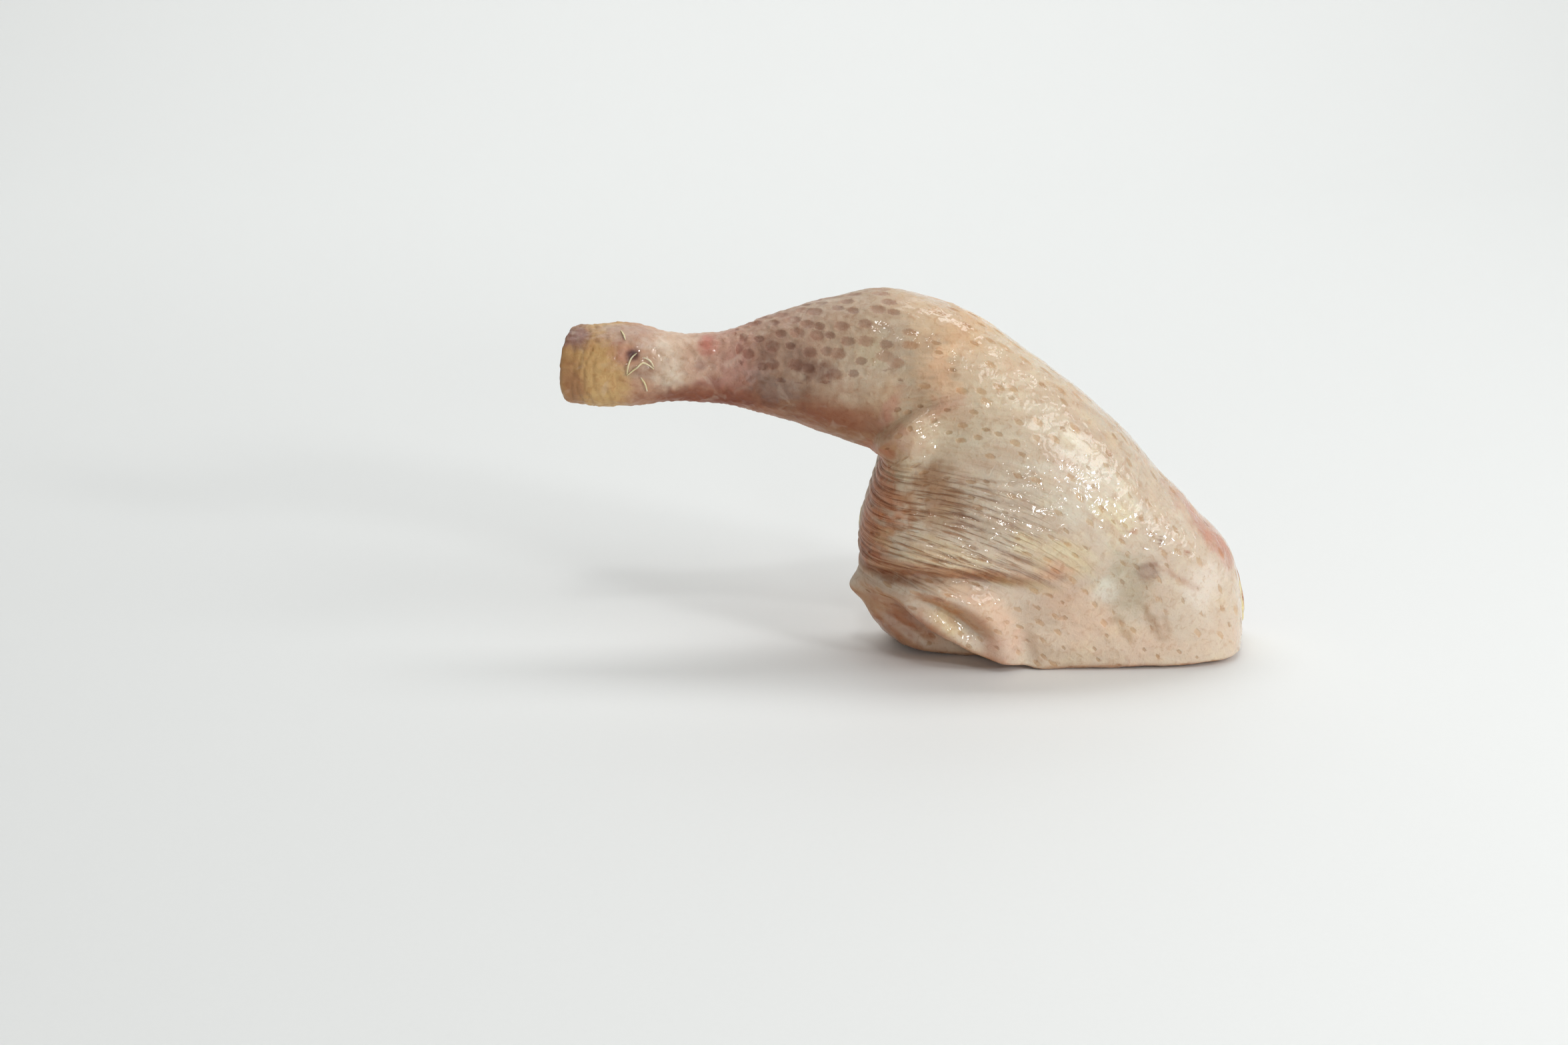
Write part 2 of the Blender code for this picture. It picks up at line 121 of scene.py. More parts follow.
# Bare meat on the back of the thigh, and the ball of the thigh bone in it.
MEAT_ALONG, MEAT_ROUND = 186.0, -1.35
MEAT_HALF_ALONG, MEAT_HALF_ROUND = 29.0, 0.9
MEAT_LEAN = 0.85
MEAT_SQUARENESS = 2.5
MEAT_PROUD, MEAT_SWELL, MEAT_DEPTH, MEAT_EDGE_DEPTH = 0.9, 0.66, 7.0, 1.6
BUNDLE_WIDTH, BUNDLE_SWELL, STRAND_SWELL = 19.0, 1.1, 0.16
BALL_ALONG, BALL_ROUND, BALL_RADIUS, BALL_LIFT = 184.0, -1.2, 6.0, 1.8

# The end of the shin bone: two rounded lumps with a groove between them.
JOINT_CENTRE = np.array([-101.6, 6.0, 89.3])
JOINT_TURN = -np.arctan(HOCK_SLANT)
JOINT_HALF = (2.2, 7.4, 8.2)
JOINT_DEPTH = 5.5
JOINT_GROOVE, JOINT_GROOVE_WIDTH = 0.5, 2.4

# Size of the fat rim: how far it wanders out from the meat, how much wider than high it is,
# and how far it stands off the skin.
FAT_REACH, FAT_WIDTH, FAT_LIFT = 1.03, 1.6, 0.2

# Spacing and depth of the skin's grooves in the wrinkled left, at the knee and at the hock,
# and spacing of the feather follicles and of the hock's scales, along and round the leg.
WRINKLE_SPACING, KNEE_SPACING, FOLD_SPACING = 2.5, 1.7, 2.2
WRINKLE_DEPTH, KNEE_DEPTH, FOLD_DEPTH = 0.85, 0.22, 0.30
FOLLICLE_PITCH, SCALE_PITCH, SCALE_HALF = (5.6, 5.0), (2.6, 2.4), (1.5, 1.4)
MEAT_SUNK = 3.4

# Fineness of the skin's grid, whose seam lies at the back of the inner edge, and of the
# smaller pieces.
ROWS = 440
FRONT_COLUMNS = 166
BACK_COLUMNS = 54
SEAM = -2.75
CLOSER_AT_FLAP = 0.08
MEAT_RINGS, MEAT_SIDES, MEAT_UNDER_STEP = 120, 260, 4
BONE_RINGS, BALL_SIDES, JOINT_SIDES = 90, 120, 140
FAT_STEPS, FAT_SIDES, THREAD_SIDES = 400, 24, 10
NOISE_TABLE = 64


def linear(colour):
    """An sRGB hex colour as linear red, green and blue."""
    part = np.array([int(colour[i:i + 2], 16) for i in (1, 3, 5)]) / 255
    return np.where(part <= 0.04045, part / 12.92, ((part + 0.055) / 1.055) ** 2.4)


def smooth_step(value, low, high):
    """Rises from 0 at low to 1 at high, flat at both ends."""
    t = np.clip((value - low) / (high - low), 0.0, 1.0)
    return t * t * (3.0 - 2.0 * t)


def unit(vectors):
    """Vectors of the same directions and a length of 1."""
    return vectors / np.linalg.norm(vectors, axis=-1, keepdims=True)


def around(count):
    """Evenly spread angles of one whole turn."""
    return np.linspace(0, 2 * np.pi, count, endpoint=False)


def noise(places, seed):
    """Smooth random heights from -1 to 1. Random values sit at whole coordinates, in as many
    dimensions as the places have, and an eased blend runs between them."""
    values = np.random.default_rng(seed).uniform(-1, 1, (NOISE_TABLE,) * places.shape[-1])
    low = np.floor(places).astype(int)
    part = places - low
    part = part * part * (3 - 2 * part)
    total = np.zeros(places.shape[:-1])
    for corner in np.ndindex(*(2,) * places.shape[-1]):
        share = np.prod(np.where(corner, part, 1 - part), -1)
        total += share * values[tuple(np.moveaxis((low + corner) % NOISE_TABLE, -1, 0))]
    return total


def lumps(points, size, seed):
    """Rounded unevenness of one size in millimetres, with half as much of half the size."""
    return noise(points / size, seed) + 0.5 * noise(points / size * 2.03 + 7.1, seed + 1)


def creases(along, across, length, spacing, seed, width=0.38):
    """Grooves, 1 at their bottom: long lines a spacing apart, bent together and apart by a
    noise stretched along them, and fading in and out by a second one."""
    bend = noise(np.stack([along / length, across / spacing / 2.3], -1), seed)
    ripple = noise(np.stack([along / length * 2.6, across / spacing / 1.1], -1), seed + 1)
    fade = noise(np.stack([along / length * 1.3, across / spacing / 1.6], -1), seed + 2)
    line = np.sin(np.pi * (across / spacing + 0.95 * bend + 0.22 * ripple))
    return np.exp(-(line / width) ** 2) * smooth_step(fade, -0.55, 0.25)


def knots_of(rows):
    """Distance along the leg at each row, as the mean of its inner and outer edge."""
    inner = np.hypot(*np.diff(rows[:, 0:2], axis=0).T)
    outer = np.hypot(*np.diff(rows[:, 2:4], axis=0).T)
    return np.concatenate([[0.0], np.cumsum((inner + outer) / 2)])


def curve_through(knots, rows, at):
    """Smooth cubic curve through rows, each at its own knot, read at the places given."""
    gaps = np.diff(knots)
    slopes = np.diff(rows, axis=0) / gaps[:, None]
    before, after = gaps[:-1, None], gaps[1:, None]
    middle = (slopes[:-1] * after + slopes[1:] * before) / (before + after)
    tangents = np.concatenate([slopes[:1], middle, slopes[-1:]])
    at = np.clip(at, knots[0], knots[-1])
    index = np.clip(np.searchsorted(knots, at, side="right") - 1, 0, len(gaps) - 1)
    gap = gaps[index][..., None]
    t = (at[..., None] - knots[index][..., None]) / gap
    ease = t * t * (3 - 2 * t)
    bend = gap * t * (1 - t) * (tangents[index] * (1 - t) - tangents[index + 1] * t)
    return rows[index] * (1 - ease) + rows[index + 1] * ease + bend


def path_samples(points):
    """Evenly spread samples of the smooth curve through a path's points."""
    points = np.array(points, float)
    knots = np.concatenate([[0.0], np.cumsum(np.hypot(*np.diff(points[:, :2], axis=0).T))])
    return curve_through(knots, points, np.linspace(0.0, knots[-1], PATH_SAMPLES))


def rolls(x, z, table):
    """Sum of rounded ridges. Each is a bell carried along its path: the bells of all its
    samples are added, so that it bends smoothly and fades out at its ends."""
    height = np.zeros_like(x)
    for width, points in table.values():
        path = path_samples(points)
        spacing = np.hypot(*np.diff(path[:, :2], axis=0).T).mean()
        for sample in path:
            square = (x - sample[0]) ** 2 + (z - sample[1]) ** 2
            height += sample[2] * np.exp(-square / width ** 2) * spacing / (width * np.sqrt(np.pi))
    return height


def laps(x, z, table):
    """Steps: the right side of each path stands out, the left side sinks, and the raised edge
    hangs over the sunk side. Distance, side and heights are those of the path's samples,
    weighted towards the nearest. Returns the height and the two shifts of the overhang."""
    height, shift_x, shift_z = np.zeros_like(x), np.zeros_like(x), np.zeros_like(x)
    for edge, raised_reach, sunk_reach, overhang, points in table.values():
        path = path_samples(points)
        way = np.gradient(path[:, :2], axis=0)
        way /= np.hypot(*way.T)[:, None]
        right, up = x[..., None] - path[:, 0], z[..., None] - path[:, 1]
        square = right ** 2 + up ** 2
        weight = np.exp(-(square - square.min(-1, keepdims=True)) / LAP_BLEND ** 2)
        weight /= weight.sum(-1, keepdims=True)
        side = (weight * (right * way[:, 1] - up * way[:, 0])).sum(-1)
        distance = (weight * np.sqrt(square)).sum(-1)
        raised, sunk = (weight * path[:, 2]).sum(-1), (weight * path[:, 3]).sum(-1)
        over = smooth_step(side, -edge, edge)
        height += raised * over * np.exp(-(distance / raised_reach) ** 2)
        height -= sunk * (1 - over) * np.exp(-(distance / sunk_reach) ** 2)
        near_edge = ((side - edge) / (LIP_WIDTH * edge)) ** 2
        lip = overhang * np.exp(-near_edge - (distance / raised_reach) ** 2)
        lip *= np.clip(raised + sunk, 0, LIP_FULL_STEP) / LIP_FULL_STEP
        shift_x -= lip * (weight * way[:, 1]).sum(-1)
        shift_z += lip * (weight * way[:, 0]).sum(-1)
    return height, shift_x, shift_z


KNOTS = knots_of(STATIONS)


def pull_lines(x, z):
    """A height that is the same all along each line of the skin's pull: the lines are level
    at the knee and the inner edge, and turn down to the right further along the thigh."""
    first_turn = np.logaddexp(0, (x - 0.9 * (z - 36)) / 8)
    second_turn = np.logaddexp(0, (x - 54 - 0.3 * (z - 40)) / 8)
    return z + 2.4 * first_turn + 4.0 * second_turn


def leg_surface(along, angle):
    """The skin at a place along the leg and an angle round it: 0 is the outer edge, a
    quarter turn is the front, half a turn the inner edge. A squared ellipse spans the
    two edges of the station, and the folds then move it to the front or the back."""
    row = curve_through(KNOTS, STATIONS, along)
    across, out = np.cos(angle), np.sin(angle)
    square = row[..., 7] + (row[..., 8] - row[..., 7]) * smooth_step(across, -0.7, 0.7)
    size = (np.abs(across) ** square + np.abs(out) ** square) ** (-1 / square)
    across, out = across * size, out * size
    x = (row[..., 0] + row[..., 2]) / 2 + across * (row[..., 2] - row[..., 0]) / 2
    z = (row[..., 1] + row[..., 3]) / 2 + across * (row[..., 3] - row[..., 1]) / 2
    y = row[..., 4] - out * np.where(out > 0, row[..., 5], row[..., 6])
    x = x + HOCK_SLANT * (y - row[..., 4]) * (1 - smooth_step(along, 0, SLANT_REACH))
    front = smooth_step(out, -0.1, 0.5)
    height, shift_x, shift_z = laps(x, z, FRONT_LAPS)
    fold = (rolls(x, z, FRONT_ROLLS) + height) * front
    y = y - fold + rolls(x, z, BACK_ROLLS) * smooth_step(-out, 0.1, 0.6)
    x, z = x + shift_x * front, z + shift_z * front
    points = np.stack([x, y, z], -1)
    shift = np.zeros_like(points)
    for middle, push, width in PUSHES.values():
        square = ((points - np.array(middle)) ** 2).sum(-1, keepdims=True)
        shift += np.array(push) * np.exp(-square / width ** 2)
    return points + shift


def outward(grid):
    """Unit vectors that point out of a grid whose rows run along and whose columns go round."""
    down = np.gradient(grid, axis=0)
    past = np.roll(grid, -1, axis=1) - np.roll(grid, 1, axis=1)
    normal = np.cross(past, down)
    return normal / np.maximum(np.linalg.norm(normal, axis=-1, keepdims=True), 1e-9)


def patch_reach(along, angle):
    """How far a place is from the middle of the bare meat, with 1 at the wavy rim."""
    right = (along - MEAT_ALONG) / MEAT_HALF_ALONG
    up = ((angle + np.pi) % (2 * np.pi) - np.pi - MEAT_LEAN * right - MEAT_ROUND) / MEAT_HALF_ROUND
    turn = np.arctan2(up, right)
    return np.hypot(right, up) / patch_rim(turn)


def patch_rim(turn):
    """Reach of the meat's wavy rim in each direction: a squared ellipse with two ripples."""
    shape = np.abs(np.cos(turn)) ** MEAT_SQUARENESS + np.abs(np.sin(turn)) ** MEAT_SQUARENESS
    return shape ** (-1 / MEAT_SQUARENESS) * (1 + 0.04 * np.cos(3 * turn + 0.6) + 0.02 * np.cos(7 * turn))


def nearest_of_lattice(u, v, pitch, half, jitter, seed, turn=0.0):
    """Nearest centre of a staggered lattice whose centres wander. Returns 1 at a centre,
    falling to 0 at its oval rim, turned by an angle, and on below, and two random numbers
    of that centre."""
    chance = np.random.default_rng(seed).random((NOISE_TABLE, NOISE_TABLE, 4))
    row = np.floor(v / pitch[1])
    best = np.full(u.shape, np.inf)
    own = np.zeros(u.shape + (2,))
    for step_v in (-1, 0, 1):
        line = row + step_v
        stagger = 0.5 * (line % 2)
        first = np.floor(u / pitch[0] - stagger)
        for step_u in (-1, 0, 1):
            place = first + step_u
            drawn = chance[line.astype(int) % NOISE_TABLE, place.astype(int) % NOISE_TABLE]
            size = 0.75 + 0.5 * drawn[..., 3]
            centre_u = (place + stagger + 0.5 + jitter * (drawn[..., 0] - 0.5)) * pitch[0]
            centre_v = (line + 0.5 + jitter * (drawn[..., 1] - 0.5)) * pitch[1]
            off_u, off_v = u - centre_u, v - centre_v
            long_way = off_u * np.cos(turn) + off_v * np.sin(turn)
            short_way = off_v * np.cos(turn) - off_u * np.sin(turn)
            reach = np.hypot(long_way / half[0], short_way / half[1]) / size
            nearer = reach < best
            best = np.where(nearer, reach, best)
            own = np.where(nearer[..., None], drawn[..., 2:], own)
    return 1 - best, own[..., 0], own[..., 1]


# Colours of the skin along the leg, from the hock to the thigh's lower edge.
LEG_TINTS = [(0, "#B0865C"), (8, "#C39C68"), (17, "#C09764"), (23, "#BE957A"), (34, "#D0B59D"),
             (48, "#C09A85"), (60, "#B5917B"), (75, "#B49983"), (95, "#BCA58C"), (106, "#CBAF90"),
             (125, "#D3BFA3"), (150, "#CFBEA8"), (190, "#D4C2AD"), (222, "#DAC6AF")]

# Patches of colour: middle x, z, half sizes, turn in degrees, colour and strength.
FRONT_PATCHES = {
    "yellow scales": (-91, 87, 8, 12, 0, "#CFAC76", 0.75),
    "brown end": (-101.5, 85, 4.5, 11, 0, "#9E6E4C", 0.8),
    "purple corner": (-100, 99, 6, 3.6, 0, "#86645C", 0.95),
    "top of the hock": (-86, 100.5, 10, 4, 0, "#B99C8B", 0.85),
    "red round the pit": (-86, 95, 5, 4, 0, "#B57F6E", 0.7),
    "dark pit": (-83.2, 94.3, 2.4, 1.9, 0, "#63403F", 0.95),
    "grey under the threads": (-80, 89, 5, 3, 0, "#9A8474", 0.6),
    "pale tendon": (-76, 97, 7, 2, -8, "#D3BFAE", 0.6),
    "pale collar": (-71.5, 89, 5, 10, 8, "#D6C4AF", 0.85),
    # The red under the collar is the skin's own red and also painted shade on the shank's underside.
    "red under the collar with painted shade": (-60, 80, 22, 5, 0, "#8E5540", 0.85),
    "upper red patch": (-53.5, 101, 4, 1.8, 0, "#BC7D6D", 0.75),
    "red patch": (-60, 96, 3, 4, 20, "#BA7161", 0.8),
    "grey spot": (-62.6, 90, 2.6, 3, 0, "#9C7B70", 0.6),
    "dark spot": (-58.5, 85, 4, 3, 0, "#9A6A5F", 0.6),
    "pink shank": (-50, 90, 7, 9, 0, "#C6958A", 0.55),
    "purple band": (-42, 94, 4, 7, 0, "#8A6A5E", 0.55),
    # The granular grey skin is also darkened as painted shade.
    "granular grey with painted shade": (-37, 83, 12, 7, -15, "#7C5F4E", 0.65),
    "bruise": (-27, 91.5, 7, 4.5, -25, "#7F5C4C", 0.75),
    "bruise above": (-33, 95, 6, 4, -30, "#8E6C5D", 0.55),
    # The pink underside is the skin's own pink and also painted shade on the drumstick's underside.
    "pink underside with painted shade": (-18, 76, 18, 6, -12, "#A26C51", 0.7),
    "pale middle": (-12, 92, 8, 7, 0, "#C6B49E", 0.6),
    "grey behind the knee": (-3, 98, 6, 9, 10, "#AB9A88", 0.5),
    "grey valley": (0, 88, 3, 8, 0, "#A8977F", 0.4),
    "red streak": (-4.5, 80, 2.6, 7, -25, "#BA806C", 0.55),
    "yellow cheek": (-10, 97, 6, 5, 0, "#C8B794", 0.35),
    "orange knee": (17, 102, 10, 6.5, -10, "#CFA880", 0.7),
    "orange of the lower knee": (11, 91, 6, 9, 0, "#E5BE9A", 0.75),
    "red fringe of the knee": (12, 82, 7, 3, 25, "#D3A388", 0.55),
    "bump": (0, 71, 5, 4, 0, "#C9A489", 0.7),
    "red spot on the bump": (-4, 67, 2.4, 2, 0, "#BC7F66", 0.7),
    "second spot on the bump": (-0.5, 75, 2, 1.4, 30, "#BE8A70", 0.6),
    # The two red left edge patches are the inner edge's own redder skin and also painted shade, darker and
    # warmer where the edge turns away from the light.
    "red left edge": (-8, 54, 9, 13, 8, "#CD8860", 0.85),
    "red left edge below": (-11, 41, 7, 10, 0, "#CE885C", 0.85),
    # Painted shade in the hollow beside the edge.
    "painted shade in the hollow": (9, 56, 10, 10, -20, "#A17855", 0.8),
    "grey of the wrinkles": (24, 47, 12, 4, -15, "#BCAA93", 0.45),
    "cream wrinkles": (10, 39, 18, 4.5, -10, "#D6BD97", 0.6),
    "yellow below the dome": (46, 38, 13, 8, -25, "#E3D0A8", 0.7),
    "orange spot": (46, 33, 5, 4, -20, "#DEAA8A", 0.65),
    "green along the long fold": (38, 29, 13, 2.4, -12, "#C9B98E", 0.6),
    # Painted shade along the long fold and at its end.
    "painted shade in the long fold": (10, 31, 16, 2.2, 0, "#B98E6C", 0.6),
    "shadow at the end of the fold": (-3, 30, 7, 2.4, 0, "#9A6440", 0.7),
    # Painted highlight: a paler patch on the top of the flap's high roll.
    "painted highlight on the top of the flap": (14, 27, 6, 3, 15, "#E8CBAC", 0.6),
    "pale lower thigh": (50, 12, 10, 6, 0, "#E9D4BC", 0.6),
    "pink flap": (27, 20, 6, 11, 40, "#E3BE9F", 0.6),
    "pink foot of the flap": (30, 8, 7, 7, 0, "#DCB5A0", 0.6),
    "yellow roll": (13, 17, 4, 7, 48, "#E2CB9C", 0.6),
    # Painted shade in the valley of the flap.
    "painted shade in the valley of the flap": (15, 20.5, 2.4, 8, 50, "#C69A72", 0.55),
    "lower lobe": (1, 11, 12, 10, 0, "#C0937A", 0.75),
    "pink band": (54, 20, 15, 8, -35, "#EBCDB2", 0.6),
    # The green trough is the skin's own greenish tint and also painted shade in the trough below the dome.
    "green trough with painted shade": (68, 27, 8, 13, 35, "#AEA288", 0.75),
    "white fat": (61, 27, 5, 5, 0, "#E4E2D4", 0.75),
    "ring": (74.7, 31.9, 3.6, 3.6, 0, "#957662", 0.85),
    "middle of the ring": (74.7, 31.9, 1.6, 1.6, 0, "#BFA794", 0.7),
    "pale dome": (56, 60, 16, 11, -35, "#DFD3BF", 0.5),
    "yellow fat on the dome": (63, 50, 8, 5, -40, "#E6D6AE", 0.5),
    "red corner": (95, 43, 13, 5, -52, "#C48C78", 0.8),
    "red corner below": (101, 33, 7, 3, -60, "#BC8270", 0.6),
    "pale right side": (93, 26, 9, 9, 0, "#EADFD1", 0.6),
    "pink of the lower edge": (72, 9, 20, 6, -5, "#E2C6AC", 0.5),
    "brown streak": (75.7, 17, 8.5, 1.7, -59, "#A07E5C", 0.7),
    "second streak": (68, 13, 6, 1.3, -56, "#AC8A68", 0.6),
    "third streak": (82, 13, 6, 1.2, -60, "#AC8A68", 0.5),
    "streak beside the ring": (84, 29.5, 7, 1.4, -33, "#B98C74", 0.6),
    "red corner above": (88, 50.5, 10, 3, -45, "#C89B87", 0.55),
    "dark speck": (77.9, 41.4, 0.6, 1.5, 0, "#6E3A32", 0.85),
    "red speck": (86.5, 36.8, 0.8, 1.1, 20, "#A0583F", 0.7),
    "third speck": (69.2, 44.8, 0.9, 0.9, 0, "#B3705A", 0.6),
}
BACK_PATCHES = {
    "purple corner": (-100, 99, 5, 3, 0, "#7C5654", 0.8),
    "yellow scales": (-92, 89, 9, 13, 0, "#CBA469", 0.7),
    "pale collar": (-71, 90, 6, 10, 0, "#DCC8B3", 0.8),
    "red shank": (-56, 88, 6, 7, 0, "#BE8272", 0.6),
    "pink calf": (-25, 82, 18, 9, -10, "#CB9D8C", 0.6),
    "purple calf": (-30, 94, 9, 5, -10, "#8C6C68", 0.5),
    "grey behind the knee": (2, 84, 9, 12, 0, "#B7A896", 0.55),
    "pink hollow of the knee": (8, 70, 13, 7, 40, "#CE9F8D", 0.6),
    "yellow fat above the meat": (40, 78, 16, 6, -35, "#E2CE9D", 0.65),
    "orange knee": (17, 102, 10, 7, 0, "#E6C197", 0.7),
    "fat of the inner edge": (-2, 40, 7, 16, 0, "#E3D0A6", 0.6),
    "pink lower edge": (30, 6, 28, 5, 0, "#D8A592", 0.6),
}

# Small raised and sunk places of the front: middle x, z, half sizes, turn in degrees, height.
FRONT_SPOTS = {
    "dark pit": (-83.2, 94.3, 2.2, 1.8, 0, -1.3),
    "pale collar": (-72, 90, 3.0, 10, 8, 0.5),
    "pale tendon": (-78, 97, 8, 1.6, -8, 0.4),
    "lower right edge": (110, 9, 5, 13, 0, -1.5),
}
RIGHT_SHOULDER = (87, 51, 8, 6)
RING_PLACE, RING_RADIUS = (74.7, 31.9), 3.0

# Wet places, where the film of juice glints: middle x, z, half sizes and wetness.
WET_PATCHES = [
    (60, 57, 15, 11, 1.0), (41, 67, 6, 3, 0.8), (22, 64, 5, 3, 0.7), (36, 60, 9, 5, 0.5),
    (14, 26, 3, 2.5, 0.9), (27, 17, 5, 9, 1.0), (27, 24, 7, 3, 0.6), (31, 9, 4, 5, 0.9),
    (91, 27, 8, 5, 1.0), (60, 7, 5, 3, 0.7), (60, 30, 6, 6, 0.6), (76, 38, 8, 7, 0.5),
    (45, 34, 4, 3, 0.5), (-79, 94, 5, 4, 1.0), (-88, 91, 6, 2, 0.8), (-59, 92, 3, 3, 0.9),
    (-7.6, 104, 2.5, 1.5, 1.0), (-44, 88, 5, 5, 0.6), (-37, 84, 8, 5, 0.5), (3, 62, 4, 6, 0.5),
]


def ellipse_reach(x, z, spot, turn=0.0):
    """Distance from a spot's middle in half sizes, for a spot turned by some degrees."""
    right, up = np.cos(np.radians(turn)), np.sin(np.radians(turn))
    along = ((x - spot[0]) * right + (z - spot[1]) * up) / spot[2]
    across = ((z - spot[1]) * right - (x - spot[0]) * up) / spot[3]
    return np.hypot(along, across)


def blend(tint, colour, share):
    """Moves a tint towards a hex colour by the share at each point."""
    tint += (linear(colour) - tint) * share[..., None]


def paint(tint, x, z, table, side, wander):
    """Lays the table's patches over the skin, each a soft ellipse whose edge wanders."""
    for *spot, turn, colour, strength in table.values():
        share = 1 - smooth_step(ellipse_reach(x, z, spot, turn) + wander, 0.3, 1.3)
        blend(tint, colour, share * strength * side)


def close_grid(grid, colours):
    """Adds the middle of the first and the last ring to a grid's points and attributes."""
    points = np.vstack([grid.reshape(-1, 3), grid[0].mean(0), grid[-1].mean(0)])
    closed = {}
    for name, values in colours.items():
        flat = values.reshape(len(points) - 2, -1)
        ends = np.stack([values[0].mean(0), values[-1].mean(0)]).reshape(2, -1)
        closed[name] = np.vstack([flat, ends])
    return points, closed


def facing_out(points, *groups):
    """All faces as lists of corners that run so that they point outwards. Each face is cut into
    a fan from its first corner, and where the volume under all fans comes out negative, the
    order of the corners is turned round."""
    volume = 0.0
    for faces in groups:
        corners = points[faces]
        for second in range(1, faces.shape[1] - 1):
            volume += (corners[:, 0] * np.cross(corners[:, second], corners[:, second + 1])).sum()
    order = 1 if volume > 0 else -1
    return [face for faces in groups for face in faces[:, ::order].tolist()]


def add_object(name, points, faces, material):
    """A smooth mesh with its object at the origin, from points in metres and faces."""
    mesh = bpy.data.meshes.new(name)
    mesh.from_pydata(points.tolist(), [], faces)
    mesh.shade_smooth()
    mesh.materials.append(material)
    made = bpy.data.objects.new(name, mesh)
    bpy.context.scene.collection.objects.link(made)
    return made


def make_piece(name, grid, material, replaced=None, colours=None):
    """A closed piece from rings of points: four-sided faces between rings, and a fan of
    triangles at both ends. Its vertex attributes carry colour and masks to the material."""
    rows, columns = grid.shape[:2]
    points, colours = close_grid(grid, colours or {})
    here = np.arange(columns)
    there = (here + 1) % columns
    row = np.arange(rows - 1)[:, None] * columns
    quads = np.stack([row + here, row + columns + here, row + columns + there, row + there], -1)
    last = (rows - 1) * columns
    count = rows * columns
    start = np.stack([here, there, np.full(columns, count)], -1)
    end = np.stack([there + last, here + last, np.full(columns, count + 1)], -1)
    faces = facing_out(points, quads.reshape(-1, 4), start, end)
    piece = add_object(name, (points - ORIGIN) * MM, faces, material)
    for key, values in colours.items():
        if values.shape[1] == 1:
            attribute = piece.data.attributes.new(key, "FLOAT", "POINT")
            attribute.data.foreach_set("value", values.astype(np.float32).ravel())
        else:
            attribute = piece.data.attributes.new(key, "FLOAT_COLOR", "POINT")
            attribute.data.foreach_set("color", np.insert(values, 3, 1, 1).astype(np.float32).ravel())
    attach(piece, "root")
    if replaced:
        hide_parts(replaced)


def make_ring(name, grid, material):
    """A piece closed both ways round, from rings of points whose last meets the first."""
    rows, columns = grid.shape[:2]
    here, row = np.arange(columns), np.arange(rows)[:, None]
    there, after = (here + 1) % columns, (row + 1) % rows
    corners = (row * columns + here, row * columns + there, after * columns + there, after * columns + here)
    points = grid.reshape(-1, 3)
    faces = facing_out(points, np.stack(np.broadcast_arrays(*corners), -1).reshape(-1, 4))
    piece = add_object(name, (points - ORIGIN) * MM, faces, material)
    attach(piece, "root")


def skin_grid():
    """Places along and round the leg where the skin has its points, closer at the front."""
    along = np.linspace(0.0, KNOTS[-1], ROWS)
    share = np.linspace(0.0, 1.0, FRONT_COLUMNS, endpoint=False)
    front = np.pi * (share + CLOSER_AT_FLAP * (1 + np.sin(2 * np.pi * (share - 0.25))))
    back_inner = np.linspace(np.pi, SEAM + 2 * np.pi, BACK_COLUMNS // 6, endpoint=False)
    back_outer = np.linspace(SEAM, 0.0, BACK_COLUMNS - BACK_COLUMNS // 6, endpoint=False)
    angle = np.concatenate([back_outer, front, back_inner])
    return np.meshgrid(along, angle, indexing="ij")


